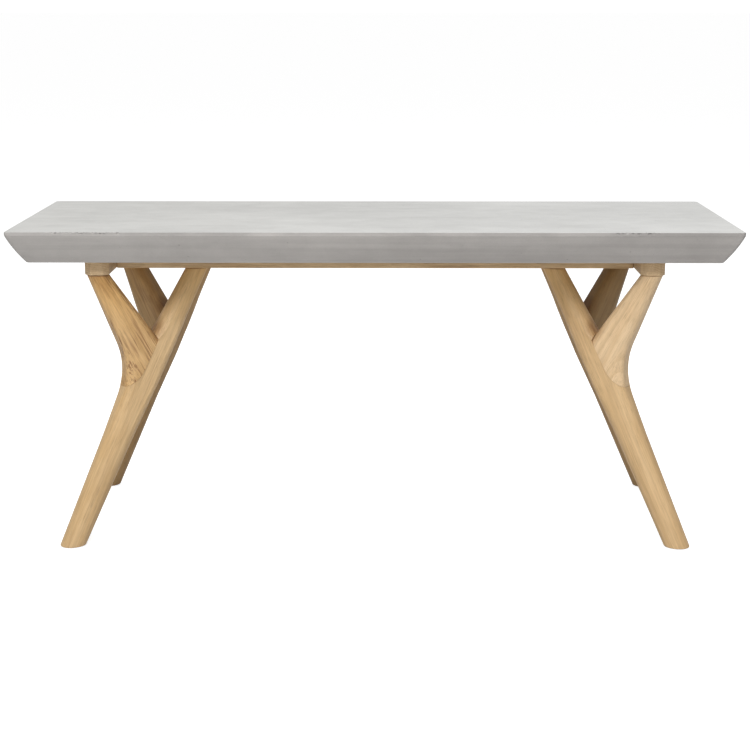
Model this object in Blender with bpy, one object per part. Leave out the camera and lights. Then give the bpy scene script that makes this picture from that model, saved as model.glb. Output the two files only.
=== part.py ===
"""Garden bench: a concrete slab on a hardwood base with four Y-shaped legs.

Metres, +Z up. X runs along the bench, Y from the front (-Y) to the rear (+Y). The origin is on the
floor under the middle of the bench. A leg lies in one upright plane. There, u is the distance from the
middle of the foot towards the middle of the bench, w is the distance out of the plane, z is the height.
"""
import math

import bmesh
import bpy
from mathutils import Matrix, Vector

for old in list(bpy.data.objects):
    bpy.data.objects.remove(old, do_unlink=True)

# Overall size
LENGTH = 1.000
DEPTH = 0.385
HEIGHT = 0.450

# Clearances
JOINT_GAP = 0.0003              # between faces that touch
HOLE_END_GAP = 0.0005           # past the end of a dowel or a screw in its blind hole

# Concrete slab
SLAB_THICKNESS = 0.0445
SLAB_UNDERCUT = 0.0240          # how far the bottom face sits inside the top one
SLAB_FASCIA = 0.0045            # upright band under the top edge
SLAB_ARRIS = 0.0012             # eased top edge
SLAB_ARRIS_KNEE = 0.3           # share of the arris at its middle point
SLAB_UNDERCUT_BULGE = 0.0014    # how far the slanted edge face stands out from a flat one
SLAB_CORNER_RADIUS = 0.0050
SLAB_EDGE_STEPS = 5
CORNER_STEPS = 3

# Frame under the slab
FRAME_THICKNESS = 0.0205
CROSSBAR_WIDTH = 0.034
CROSSBAR_INSET = 0.1165         # from the slab's end to the middle of the crossbar
CROSSBAR_END_INSET = 0.0425     # from the slab's front or rear edge to the crossbar's end
RAIL_WIDTH = 0.036
RAIL_SPACING = 0.120            # between the middles of the two rails
FRAME_ARRIS = 0.0010
CROSSBAR_NOSE = 0.0085          # cut off each upright corner of a crossbar

# Legs: place and outline
FOOT_INSET_X = 0.0720           # from the slab's end to the middle of the foot
FOOT_INSET_Y = 0.0315           # from the slab's front or rear edge to the middle of the foot
POST_RUN = 0.2010               # how far the post leans inwards, measured along the floor
FOOT_WIDTH = 0.0361             # widths are level, in the plane of the leg
POST_SWELL_WIDTH = 0.0500
POST_TOP_WIDTH = 0.0312
BRANCH_TOP_WIDTH = 0.0300
SWELL_DROP = 0.1590             # from the leg's top down to the widest place of the post
BRANCH_OUTER_LEAN = 0.42        # level run for each unit of height, outer edge of the branch
BRANCH_INNER_LEAN = 0.705       # the same, for the edge that faces the post
ELBOW_RADIUS = 0.097            # where the branch's outer edge turns into the post's

# Legs: half thickness and roundness of the level sections
FOOT_HALF_THICKNESS = 0.0165
FORK_HALF_THICKNESS = 0.0188
POST_TOP_HALF_THICKNESS = 0.0147
BRANCH_TOP_HALF_THICKNESS = 0.0150
ROUND_POWER = 2.15              # 2 is an ellipse, more is boxier
FORK_POWER = 3.0
FOOT_RIM = 0.0015
SECTION_POINTS = 20
FOOT_RINGS = 3                  # rings of the post from the foot to the elbow
ELBOW_RINGS = 4                 # from the elbow to the fork
FORK_RINGS = 2                  # in the fork
HEAD_RINGS = 3                  # from the fork to the top, for post and branch
BRANCH_HEEL_RINGS = 6           # from the branch's heel to the top of the elbow

# Glued joint between branch and post
GLUE_NOTCH_DEPTH = 0.0092       # how far the notch in the post goes below the throat
GLUE_NOTCH_SHIFT = 0.0028
GLUE_FACE_LENGTH = 0.0443
GLUE_FACE_LEAN = 0.545
GLUE_HEEL_RADIUS = 0.053
GLUE_HEEL_TURN = math.radians(39.0)
GLUE_HEEL_STEPS = 4
CUTTER_MARGIN = 0.060
FORK_MERGE_DROP = 0.036         # below the throat, over which the post's section narrows
BRANCH_BLANK_DROP = 0.014       # how far the uncut branch reaches below the post's swell
SQUARING_HEIGHT = 0.070         # below the swell, over which the round leg turns boxier

# Dowels and screws
FORK_DOWEL_RADIUS = 0.0040
FORK_DOWEL_LENGTH = 0.034
FORK_DOWEL_FROM_NOTCH = 0.0125  # along the glue face
FORK_DOWEL_PITCH = 0.0210
BRANCH_DOWEL_RADIUS = 0.0050
BRANCH_DOWEL_IN_FRAME = 0.013
BRANCH_DOWEL_IN_LEG = 0.030
RAIL_DOWEL_RADIUS = 0.0040
RAIL_DOWEL_IN_CROSSBAR = 0.018
RAIL_DOWEL_IN_RAIL = 0.022
RAIL_DOWEL_PITCH = 0.018
DOWEL_CHAMFER = 0.0010
SCREW_RADIUS = 0.0030
SCREW_TIP_RADIUS = 0.0012
SCREW_TIP_LENGTH = 0.006
SCREW_HEAD_RADIUS = 0.0055
SCREW_HEAD_HEIGHT = 0.0050
SCREW_DRIVE_RADIUS = 0.0024
SCREW_DRIVE_DEPTH = 0.0025
SCREW_HEAD_COVER = 0.0006       # wood level above the highest point of the sunk head
SCREW_IN_LEG = 0.046

# Bolts that hold the slab
BOLT_RADIUS = 0.0040
BOLT_LENGTH = 0.028
BOLT_HEAD_RADIUS = 0.0065
BOLT_HEAD_HEIGHT = 0.0080
BOLT_HEAD_COVER = 0.0008        # how far the head sits above the crossbar's underside
BOLT_SOCKET_FLAT = 0.0030       # half the distance across the flats
BOLT_SOCKET_DEPTH = 0.0040
BOLT_CHAMFER = 0.0008
BOLT_HOLE_PLAY = 0.0005
WASHER_RADIUS = 0.0090
WASHER_THICKNESS = 0.0016
WASHER_POCKET_PLAY = 0.0010
INSERT_RADIUS = 0.0070
INSERT_FLANGE_RADIUS = 0.0085
INSERT_FLANGE_HEIGHT = 0.0025
INSERT_GROOVE = 0.0010
INSERT_LENGTH = 0.025
INSERT_GROOVE_FROM = 0.45       # the groove's ends, as shares of the length
INSERT_GROOVE_TO = 0.70

# Glides
GLIDE_RADIUS = 0.0110
GLIDE_THICKNESS = 0.0040
GLIDE_PROUD = 0.0010
GLIDE_RIM = 0.0006

DOWEL_SIDES = 12
ROUND_SIDES = 16
WELD_DISTANCE = 0.000002

# Worked out from the sizes above
SLAB_BOTTOM = HEIGHT - SLAB_THICKNESS
FRAME_TOP = SLAB_BOTTOM - JOINT_GAP
FRAME_BOTTOM = FRAME_TOP - FRAME_THICKNESS
FRAME_MIDDLE = (FRAME_TOP + FRAME_BOTTOM) / 2
LEG_TOP = FRAME_BOTTOM - JOINT_GAP
CROSSBAR_X = LENGTH / 2 - CROSSBAR_INSET
CROSSBAR_LENGTH = DEPTH - 2 * CROSSBAR_END_INSET
RAIL_Y = RAIL_SPACING / 2
RAIL_END_X = CROSSBAR_X - CROSSBAR_WIDTH / 2 - JOINT_GAP
FOOT_X = LENGTH / 2 - FOOT_INSET_X
FOOT_Y = DEPTH / 2 - FOOT_INSET_Y
LEG_TURN = math.asin((FOOT_Y - RAIL_Y) / POST_RUN)
BRANCH_TOP_U = (FOOT_X - CROSSBAR_X) / math.cos(LEG_TURN)
BRANCH_TOP_Y = FOOT_Y - BRANCH_TOP_U * math.sin(LEG_TURN)
BOLT_Y = (RAIL_Y + RAIL_WIDTH / 2 + BRANCH_TOP_Y - BRANCH_TOP_HALF_THICKNESS) / 2
SWELL_Z = LEG_TOP - SWELL_DROP
UP = Vector((0, 0, 1))
CORNERS = [(side_x, side_y) for side_y in (-1, 1) for side_x in (-1, 1)]


def corner_name(side_x, side_y):
    """Front is -Y and left is -X."""
    return ("front" if side_y < 0 else "rear") + "_" + ("left" if side_x < 0 else "right")


# Materials

def material(name, color, roughness, metallic=0.0):
    made = bpy.data.materials.new(name)
    made.use_nodes = True
    shader = made.node_tree.nodes["Principled BSDF"]
    shader.inputs["Base Color"].default_value = (*color, 1.0)
    shader.inputs["Roughness"].default_value = roughness
    shader.inputs["Metallic"].default_value = metallic
    made.diffuse_color = (*color, 1.0)
    return made


CONCRETE = ((0.60, 0.60, 0.58), 0.85)
HARDWOOD = ((0.56, 0.37, 0.19), 0.50)
DOWEL_WOOD = ((0.62, 0.45, 0.26), 0.65)
ZINC_STEEL = ((0.60, 0.61, 0.62), 0.35, 1.0)
BRASS = ((0.70, 0.52, 0.24), 0.35, 1.0)
BLACK_PLASTIC = ((0.03, 0.03, 0.03), 0.60)


# Shapes

def skin(name, rings):
    """A closed mesh through matching rings of points, flat at both ends."""
    shape = bmesh.new()
    loops = [[shape.verts.new(point) for point in ring] for ring in rings]
    for lower, upper in zip(loops, loops[1:]):
        for i in range(len(lower)):
            shape.faces.new((lower[i - 1], lower[i], upper[i], upper[i - 1]))
    shape.faces.new(loops[0])
    shape.faces.new(loops[-1])
    return finished_mesh(name, shape)


def finished_mesh(name, shape):
    bmesh.ops.recalc_face_normals(shape, faces=shape.faces)
    mesh = bpy.data.meshes.new(name)
    shape.to_mesh(mesh)
    shape.free()
    return mesh


def prism(name, outline, half_width):
    """An outline of (u, z) points carried half_width to both sides of the leg's plane."""
    return skin(name, [[(u, w, z) for u, z in outline] for w in (-half_width, half_width)])


def turned(name, profile, base, direction, sides, bored=False):
    """A round body spun from (radius, distance along the axis) points; a bored one has no solid middle."""
    axis = direction.normalized()
    across = axis.orthogonal().normalized()
    if not bored:
        profile = [(0.0, profile[0][1]), *profile, (0.0, profile[-1][1])]
    shape = bmesh.new()
    verts = [shape.verts.new(base + axis * along + across * radius) for radius, along in profile]
    edges = [shape.edges.new(pair) for pair in zip(verts, verts[1:])]
    if bored:
        edges.append(shape.edges.new((verts[-1], verts[0])))
    bmesh.ops.spin(shape, geom=verts + edges, cent=base, axis=axis, angle=2 * math.pi, steps=sides,
                   use_merge=True)
    bmesh.ops.remove_doubles(shape, verts=shape.verts, dist=WELD_DISTANCE)
    return finished_mesh(name, shape)


def rounded_rectangle(half_x, half_y, radius, z):
    ring = []
    for quarter in range(4):
        start = quarter * math.pi / 2
        middle = start + math.pi / 4
        corner_x = math.copysign(half_x - radius, math.cos(middle))
        corner_y = math.copysign(half_y - radius, math.sin(middle))
        for step in range(CORNER_STEPS + 1):
            angle = start + step * math.pi / 2 / CORNER_STEPS
            ring.append((corner_x + radius * math.cos(angle), corner_y + radius * math.sin(angle), z))
    return ring


def bar(name, size_x, size_y, size_z, centre, nose=0.0):
    """A sawn bar with eased edges; a nose is the size of the cut across each upright corner."""
    shape = bmesh.new()
    bmesh.ops.create_cube(shape, size=1.0)
    bmesh.ops.scale(shape, vec=(size_x, size_y, size_z), verts=shape.verts)
    if nose:
        upright = [edge for edge in shape.edges if edge.verts[0].co.z != edge.verts[1].co.z]
        bmesh.ops.bevel(shape, geom=upright, offset=nose, segments=1, affect="EDGES")
    bmesh.ops.bevel(shape, geom=shape.edges[:], offset=FRAME_ARRIS, segments=1, affect="EDGES")
    bmesh.ops.translate(shape, vec=centre, verts=shape.verts)
    return finished_mesh(name, shape)


def cut(name, mesh, cutters, operation="DIFFERENCE"):
    """The mesh after one Boolean for each cutter mesh."""
    scratch = [bpy.data.objects.new(name + "_blank", mesh)]
    bpy.context.collection.objects.link(scratch[0])
    for number, cutter in enumerate(cutters):
        tool = bpy.data.objects.new(f"{name}_cutter_{number}", cutter)
        tool.hide_render = True
        tool.display_type = "WIRE"
        bpy.context.collection.objects.link(tool)
        scratch.append(tool)
        step = scratch[0].modifiers.new(f"cut_{number}", "BOOLEAN")
        step.operation = operation
        step.solver = "EXACT"
        step.object = tool
    finished = scratch[0].evaluated_get(bpy.context.evaluated_depsgraph_get())
    result = bpy.data.meshes.new_from_object(finished)
    result.name = name
    for item in scratch:
        bpy.data.objects.remove(item, do_unlink=True)
    return result


def place(name, mesh, finish, matrix=None, smooth_angle=30.0):
    """One finished piece, with a material and smoothing of its own."""
    own = mesh.copy()
    own.name = name
    own.shade_smooth()
    own.set_sharp_from_angle(angle=math.radians(smooth_angle))
    own.materials.clear()
    own.materials.append(material(name, *finish))
    piece = bpy.data.objects.new(name, own)
    bpy.context.collection.objects.link(piece)
    if matrix is not None:
        piece.matrix_world = matrix
    return piece


def dowel(name, radius, start, end):
    length = (end - start).length
    end_radius = radius - DOWEL_CHAMFER
    profile = [(end_radius, 0), (radius, DOWEL_CHAMFER),
               (radius, length - DOWEL_CHAMFER), (end_radius, length)]
    return turned(name, profile, start, end - start, DOWEL_SIDES)


def dowel_hole(radius, start, end):
    """A cylinder that leaves the dowel its gaps."""
    reach = (end - start).normalized() * HOLE_END_GAP
    length = (end - start).length + 2 * HOLE_END_GAP
    profile = [(radius + JOINT_GAP, 0), (radius + JOINT_GAP, length)]
    return turned("hole", profile, start - reach, end - start, DOWEL_SIDES)


# Outline of a leg in its own plane, as u for a height z

def blend(low, high, share):
    return low + (high - low) * min(1.0, max(0.0, share))


def post_inner(z):
    """The straight edge that faces the middle of the bench."""
    return blend(FOOT_WIDTH / 2, POST_RUN + POST_TOP_WIDTH / 2, z / LEG_TOP)


SWELL_U = post_inner(SWELL_Z) - POST_SWELL_WIDTH
POST_OUTER_LEAN = (SWELL_U + FOOT_WIDTH / 2) / SWELL_Z
POST_THROAT_LEAN = (POST_RUN - POST_TOP_WIDTH / 2 - SWELL_U) / SWELL_DROP


def post_throat(z):
    """The post's edge above the swell, which faces the branch."""
    return POST_RUN - POST_TOP_WIDTH / 2 - POST_THROAT_LEAN * (LEG_TOP - z)


def branch_inner(z):
    """The branch's edge that faces the post."""
    return BRANCH_TOP_U + BRANCH_TOP_WIDTH / 2 + BRANCH_INNER_LEAN * (LEG_TOP - z)


def throat():
    """Where the facing edges of post and branch meet."""
    gap = post_throat(LEG_TOP) - branch_inner(LEG_TOP)
    drop = gap / (POST_THROAT_LEAN + BRANCH_INNER_LEAN)
    return branch_inner(LEG_TOP - drop), LEG_TOP - drop


THROAT_U, THROAT_Z = throat()


def elbow():
    """The arc that joins the post's outer edge to the branch's: its centre and its end heights."""
    branch_foot_u = BRANCH_TOP_U - BRANCH_TOP_WIDTH / 2 + BRANCH_OUTER_LEAN * LEG_TOP
    corner_z = (branch_foot_u + FOOT_WIDTH / 2) / (POST_OUTER_LEAN + BRANCH_OUTER_LEAN)
    corner_u = POST_OUTER_LEAN * corner_z - FOOT_WIDTH / 2
    lower = math.atan(POST_OUTER_LEAN)
    upper = math.atan(BRANCH_OUTER_LEAN)
    tangent = ELBOW_RADIUS * math.tan((lower + upper) / 2)
    low_z = corner_z - tangent * math.cos(lower)
    high_z = corner_z + tangent * math.cos(upper)
    centre_u = corner_u - tangent * math.sin(lower) - ELBOW_RADIUS * math.cos(lower)
    centre_z = low_z + ELBOW_RADIUS * math.sin(lower)
    return centre_u, centre_z, low_z, high_z


ELBOW_U, ELBOW_Z, ELBOW_LOW_Z, ELBOW_HIGH_Z = elbow()


def leg_outer(z):
    """The outer edge of the whole leg: post, elbow, branch."""
    lower = POST_OUTER_LEAN * z - FOOT_WIDTH / 2
    upper = BRANCH_TOP_U - BRANCH_TOP_WIDTH / 2 + BRANCH_OUTER_LEAN * (LEG_TOP - z)
    if z <= ELBOW_LOW_Z:
        return lower
    if z >= ELBOW_HIGH_Z:
        return upper
    return ELBOW_U + math.sqrt(ELBOW_RADIUS ** 2 - (z - ELBOW_Z) ** 2)


MERGE_Z = THROAT_Z - FORK_MERGE_DROP


def post_outer(z):
    """Outer edge of the post's own section: the leg's up to the fork, then its throat edge."""
    if z <= MERGE_Z:
        return leg_outer(z)
    if z >= THROAT_Z:
        return post_throat(z)
    return blend(leg_outer(MERGE_Z), THROAT_U, (z - MERGE_Z) / FORK_MERGE_DROP)


def section(outer, inner, half_thickness, power, z):
    """A level ring with the given roundness."""
    middle = (outer + inner) / 2
    ring = []
    for i in range(SECTION_POINTS):
        angle = 2 * math.pi * (i + 0.5) / SECTION_POINTS
        along = math.copysign(abs(math.cos(angle)) ** (2 / power), math.cos(angle))
        across = math.copysign(abs(math.sin(angle)) ** (2 / power), math.sin(angle))
        ring.append((middle + along * (inner - outer) / 2, across * half_thickness, z))
    return ring


def steps(low, high, count):
    return [low + (high - low) * i / count for i in range(count)]


def post_ring(z, rim=0.0):
    rise = z / SWELL_Z
    fall = (z - THROAT_Z) / (LEG_TOP - THROAT_Z)
    half = blend(blend(FOOT_HALF_THICKNESS, FORK_HALF_THICKNESS, rise), POST_TOP_HALF_THICKNESS, fall)
    boxy = blend(ROUND_POWER, FORK_POWER, (z - SWELL_Z) / SQUARING_HEIGHT + 1)
    power = blend(boxy, ROUND_POWER, fall)
    return section(post_outer(z) + rim, post_inner(z) - rim, half - rim, power, z)


def branch_ring(z):
    fall = (z - THROAT_Z) / (LEG_TOP - THROAT_Z)
    half = blend(FORK_HALF_THICKNESS, BRANCH_TOP_HALF_THICKNESS, fall)
    power = blend(FORK_POWER, ROUND_POWER, fall)
    return section(leg_outer(z), min(branch_inner(z), post_inner(z)), half, power, z)


# Glued joint: the line where the branch sits in the post, in the leg's plane

GLUE_ALONG = Vector((GLUE_FACE_LEAN, 0, 1)).normalized()
GLUE_OUT = Vector((-GLUE_ALONG.z, 0, GLUE_ALONG.x))
GLUE_NOTCH = Vector((THROAT_U + GLUE_NOTCH_SHIFT, 0, THROAT_Z - GLUE_NOTCH_DEPTH))


def glue_line():
    """Points (u, z) from above the throat down the glued face and out past the heel."""
    above = (THROAT_U, LEG_TOP + CUTTER_MARGIN)
    face_end = GLUE_NOTCH - GLUE_ALONG * GLUE_FACE_LENGTH
    centre = face_end + GLUE_OUT * GLUE_HEEL_RADIUS
    heel = []
    for step in range(1, GLUE_HEEL_STEPS + 1):
        turn = Matrix.Rotation(GLUE_HEEL_TURN * step / GLUE_HEEL_STEPS, 3, "Y")
        heel.append(centre - turn @ (GLUE_OUT * GLUE_HEEL_RADIUS))
    outwards = Matrix.Rotation(GLUE_HEEL_TURN, 3, "Y") @ -GLUE_ALONG
    line = [GLUE_NOTCH, face_end, *heel, heel[-1] + outwards * CUTTER_MARGIN]
    return [above, (THROAT_U, THROAT_Z)] + [(point.x, point.z) for point in line]


def offset_line(points, distance):
    """The line moved square to itself, towards the branch."""
    moved = []
    for i, (u, z) in enumerate(points):
        before = Vector(points[max(i - 1, 0)])
        after = Vector(points[min(i + 1, len(points) - 1)])
        here = Vector((u, z))
        normals = []
        for start, end in ((before, here), (here, after)):
            if start != end:
                run = (end - start).normalized()
                normals.append(Vector((run.y, -run.x)))
        normal = sum(normals, Vector((0, 0))).normalized()
        here += normal * distance / normal.dot(normals[0])
        moved.append((here.x, here.y))
    return moved


def branch_side(line):
    """Closed outline of all that lies on the branch's side of the line."""
    far_u = BRANCH_TOP_U - BRANCH_TOP_WIDTH - CUTTER_MARGIN
    return line + [(far_u, line[-1][1]), (far_u, line[0][1])]


# Dowels and screws of one leg, in the leg's own space

def fork_dowel_ends(number):
    along_face = FORK_DOWEL_FROM_NOTCH + number * FORK_DOWEL_PITCH
    middle = GLUE_NOTCH - GLUE_ALONG * along_face
    half = GLUE_OUT * FORK_DOWEL_LENGTH / 2
    return middle - half, middle + half


BRANCH_AXIS = Vector((-(BRANCH_OUTER_LEAN + BRANCH_INNER_LEAN) / 2, 0, 1)).normalized()
BRANCH_TOP = Vector((BRANCH_TOP_U, 0, LEG_TOP))
BRANCH_DOWEL_ENDS = (BRANCH_TOP - BRANCH_AXIS * BRANCH_DOWEL_IN_LEG,
                     BRANCH_TOP + BRANCH_AXIS * BRANCH_DOWEL_IN_FRAME)

POST_INNER_LEAN = (post_inner(LEG_TOP) - post_inner(0)) / LEG_TOP
POST_AXIS = Vector(((POST_INNER_LEAN + POST_THROAT_LEAN) / 2, 0, 1)).normalized()
POST_TOP = Vector((POST_RUN, 0, LEG_TOP))
SCREW_HEAD_TILT = SCREW_HEAD_RADIUS * POST_AXIS.x
SCREW_HEAD_TOP = (FRAME_TOP - LEG_TOP - SCREW_HEAD_COVER - SCREW_HEAD_TILT) / POST_AXIS.z
SCREW_SEAT = SCREW_HEAD_TOP - SCREW_HEAD_HEIGHT


def post_screw():
    profile = [(SCREW_TIP_RADIUS, -SCREW_IN_LEG), (SCREW_RADIUS, SCREW_TIP_LENGTH - SCREW_IN_LEG),
               (SCREW_RADIUS, SCREW_SEAT), (SCREW_HEAD_RADIUS, SCREW_SEAT),
               (SCREW_HEAD_RADIUS, SCREW_HEAD_TOP), (SCREW_DRIVE_RADIUS, SCREW_HEAD_TOP),
               (SCREW_DRIVE_RADIUS, SCREW_HEAD_TOP - SCREW_DRIVE_DEPTH)]
    return turned("post_screw", profile, POST_TOP, POST_AXIS, DOWEL_SIDES)


def post_screw_hole():
    shank = SCREW_RADIUS + JOINT_GAP
    head = SCREW_HEAD_RADIUS + JOINT_GAP
    seat = SCREW_SEAT - JOINT_GAP
    profile = [(shank, -SCREW_IN_LEG - HOLE_END_GAP), (shank, seat), (head, seat),
               (head, SCREW_HEAD_TOP + FRAME_THICKNESS)]
    return turned("post_screw_hole", profile, POST_TOP, POST_AXIS, DOWEL_SIDES)


def post_mesh():
    rings = [post_ring(GLIDE_PROUD, FOOT_RIM)]
    heights = steps(GLIDE_PROUD + FOOT_RIM, ELBOW_LOW_Z, FOOT_RINGS)
    heights += steps(ELBOW_LOW_Z, MERGE_Z, ELBOW_RINGS)
    heights += steps(MERGE_Z, THROAT_Z, FORK_RINGS) + steps(THROAT_Z, LEG_TOP, HEAD_RINGS) + [LEG_TOP]
    rings += [post_ring(z) for z in heights]
    pocket_top = GLIDE_THICKNESS + JOINT_GAP
    pocket_radius = GLIDE_RADIUS + JOINT_GAP
    pocket_profile = [(pocket_radius, 0), (pocket_radius, pocket_top)]
    pocket = turned("glide_pocket", pocket_profile, Vector(), UP, ROUND_SIDES)
    holes = [dowel_hole(FORK_DOWEL_RADIUS, *fork_dowel_ends(number)) for number in range(2)]
    heel_seat = prism("heel_seat", branch_side(glue_line()), CUTTER_MARGIN)
    return cut("post", skin("post_blank", rings), [heel_seat, pocket, post_screw_hole(), *holes])


def branch_mesh():
    heights = steps(SWELL_Z - BRANCH_BLANK_DROP, ELBOW_HIGH_Z, BRANCH_HEEL_RINGS)
    heights += steps(ELBOW_HIGH_Z, LEG_TOP, HEAD_RINGS) + [LEG_TOP]
    rings = [branch_ring(z) for z in heights]
    outline = branch_side(offset_line(glue_line(), JOINT_GAP))
    blank = skin("branch_blank", rings)
    kept = cut("branch_kept", blank, [prism("kept", outline, CUTTER_MARGIN)], "INTERSECT")
    holes = [dowel_hole(FORK_DOWEL_RADIUS, *fork_dowel_ends(number)) for number in range(2)]
    return cut("branch", kept, [dowel_hole(BRANCH_DOWEL_RADIUS, *BRANCH_DOWEL_ENDS), *holes])


def leg_matrix(side_x, side_y):
    """From the leg's own space to its corner of the bench."""
    turn = math.atan2(-side_y * math.sin(LEG_TURN), -side_x * math.cos(LEG_TURN))
    return Matrix.Translation((side_x * FOOT_X, side_y * FOOT_Y, 0)) @ Matrix.Rotation(turn, 4, "Z")


def moved(mesh, matrix):
    copy = mesh.copy()
    copy.transform(matrix)
    return copy


# Sub-parts

def glide():
    profile = [(GLIDE_RADIUS - GLIDE_RIM, 0), (GLIDE_RADIUS, GLIDE_RIM), (GLIDE_RADIUS, GLIDE_THICKNESS)]
    return turned("glide", profile, Vector(), UP, ROUND_SIDES)


def build_legs():
    post = post_mesh()
    branch = branch_mesh()
    screw = post_screw()
    top_dowel = dowel("branch_dowel", BRANCH_DOWEL_RADIUS, *BRANCH_DOWEL_ENDS)
    fork_dowels = [dowel("fork_dowel", FORK_DOWEL_RADIUS, *fork_dowel_ends(number)) for number in range(2)]
    for corner in CORNERS:
        where = corner_name(*corner)
        matrix = leg_matrix(*corner)
        place(f"leg_post_{where}", post, HARDWOOD, matrix)
        place(f"leg_branch_{where}", branch, HARDWOOD, matrix)
        place(f"leg_glide_{where}", glide(), BLACK_PLASTIC, matrix)
        place(f"post_screw_{where}", screw, ZINC_STEEL, matrix)
        place(f"branch_dowel_{where}", top_dowel, DOWEL_WOOD, matrix)
        for height, mesh in zip(("upper", "lower"), fork_dowels):
            place(f"fork_dowel_{height}_{where}", mesh, DOWEL_WOOD, matrix)


def rail_dowel_ends(side_x, side_y, number):
    y = side_y * RAIL_Y + (number - 0.5) * RAIL_DOWEL_PITCH
    shoulder = Vector((side_x * (RAIL_END_X + JOINT_GAP), y, FRAME_MIDDLE))
    outwards = Vector((side_x, 0, 0))
    return shoulder - outwards * RAIL_DOWEL_IN_RAIL, shoulder + outwards * RAIL_DOWEL_IN_CROSSBAR


BOLT_HEAD_TOP = BOLT_HEAD_COVER + BOLT_HEAD_HEIGHT
WASHER_BOTTOM = BOLT_HEAD_TOP + JOINT_GAP
BOLT_SEAT = WASHER_BOTTOM + WASHER_THICKNESS + JOINT_GAP


def bolt_hole(base):
    pocket = WASHER_RADIUS + WASHER_POCKET_PLAY
    shank = BOLT_RADIUS + BOLT_HOLE_PLAY
    profile = [(pocket, -CUTTER_MARGIN), (pocket, BOLT_SEAT), (shank, BOLT_SEAT), (shank, CUTTER_MARGIN)]
    return turned("bolt_hole", profile, base, UP, ROUND_SIDES)


def bolt_base(side_x, side_y):
    return Vector((side_x * CROSSBAR_X, side_y * BOLT_Y, FRAME_BOTTOM))


def bolt_mesh():
    """Socket cap bolt, head down; the socket is a hexagon."""
    sides = DOWEL_SIDES
    rings = []

    def ring(radius_at, z):
        rings.append([(radius_at(a) * math.cos(a), radius_at(a) * math.sin(a), z)
                      for a in (2 * math.pi * i / sides for i in range(sides))])

    def hexagon(angle):
        return BOLT_SOCKET_FLAT / math.cos(angle % (math.pi / 3) - math.pi / 6)

    tip = BOLT_HEAD_TOP + BOLT_LENGTH
    ring(hexagon, BOLT_HEAD_COVER + BOLT_SOCKET_DEPTH)
    ring(hexagon, BOLT_HEAD_COVER)
    ring(lambda angle: BOLT_HEAD_RADIUS - BOLT_CHAMFER, BOLT_HEAD_COVER)
    ring(lambda angle: BOLT_HEAD_RADIUS, BOLT_HEAD_COVER + BOLT_CHAMFER)
    ring(lambda angle: BOLT_HEAD_RADIUS, BOLT_HEAD_TOP)
    ring(lambda angle: BOLT_RADIUS, BOLT_HEAD_TOP)
    ring(lambda angle: BOLT_RADIUS, tip - BOLT_CHAMFER)
    ring(lambda angle: BOLT_RADIUS - BOLT_CHAMFER, tip)
    return skin("bolt", rings)


def washer_mesh():
    bore = BOLT_RADIUS + BOLT_HOLE_PLAY
    top = WASHER_BOTTOM + WASHER_THICKNESS
    profile = [(bore, WASHER_BOTTOM), (WASHER_RADIUS, WASHER_BOTTOM), (WASHER_RADIUS, top), (bore, top)]
    return turned("washer", profile, Vector(), UP, ROUND_SIDES, bored=True)


def insert_mesh():
    bore = BOLT_RADIUS + JOINT_GAP
    groove = INSERT_RADIUS - INSERT_GROOVE
    low_groove = INSERT_LENGTH * INSERT_GROOVE_FROM
    high_groove = INSERT_LENGTH * INSERT_GROOVE_TO
    profile = [(bore, 0), (INSERT_FLANGE_RADIUS, 0), (INSERT_FLANGE_RADIUS, INSERT_FLANGE_HEIGHT),
               (INSERT_RADIUS, INSERT_FLANGE_HEIGHT), (INSERT_RADIUS, low_groove), (groove, low_groove),
               (groove, high_groove), (INSERT_RADIUS, high_groove), (INSERT_RADIUS, INSERT_LENGTH),
               (bore, INSERT_LENGTH)]
    return turned("insert", profile, Vector(), UP, DOWEL_SIDES, bored=True)


def insert_hole(base):
    flange = INSERT_FLANGE_RADIUS + JOINT_GAP
    body = INSERT_RADIUS + JOINT_GAP
    step = INSERT_FLANGE_HEIGHT + JOINT_GAP
    profile = [(flange, -INSERT_LENGTH), (flange, step),
               (body, step), (body, INSERT_LENGTH + HOLE_END_GAP)]
    return turned("insert_hole", profile, base, UP, DOWEL_SIDES)


def at_slab_bottom(side_x, side_y):
    base = bolt_base(side_x, side_y)
    return Vector((base.x, base.y, SLAB_BOTTOM))


def build_slab():
    edge = [(SLAB_ARRIS, 0), (SLAB_ARRIS * SLAB_ARRIS_KNEE, SLAB_ARRIS * SLAB_ARRIS_KNEE), (0, SLAB_ARRIS)]
    for step in range(SLAB_EDGE_STEPS + 1):
        share = step / SLAB_EDGE_STEPS
        inset = SLAB_UNDERCUT * share - SLAB_UNDERCUT_BULGE * 4 * share * (1 - share)
        edge.append((inset, blend(SLAB_FASCIA, SLAB_THICKNESS, share)))
    rings = [rounded_rectangle(LENGTH / 2 - inset, DEPTH / 2 - inset, SLAB_CORNER_RADIUS, HEIGHT - drop)
             for inset, drop in edge]
    holes = [insert_hole(at_slab_bottom(*corner)) for corner in CORNERS]
    place("slab", cut("slab", skin("slab_blank", rings), holes), CONCRETE)


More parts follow.
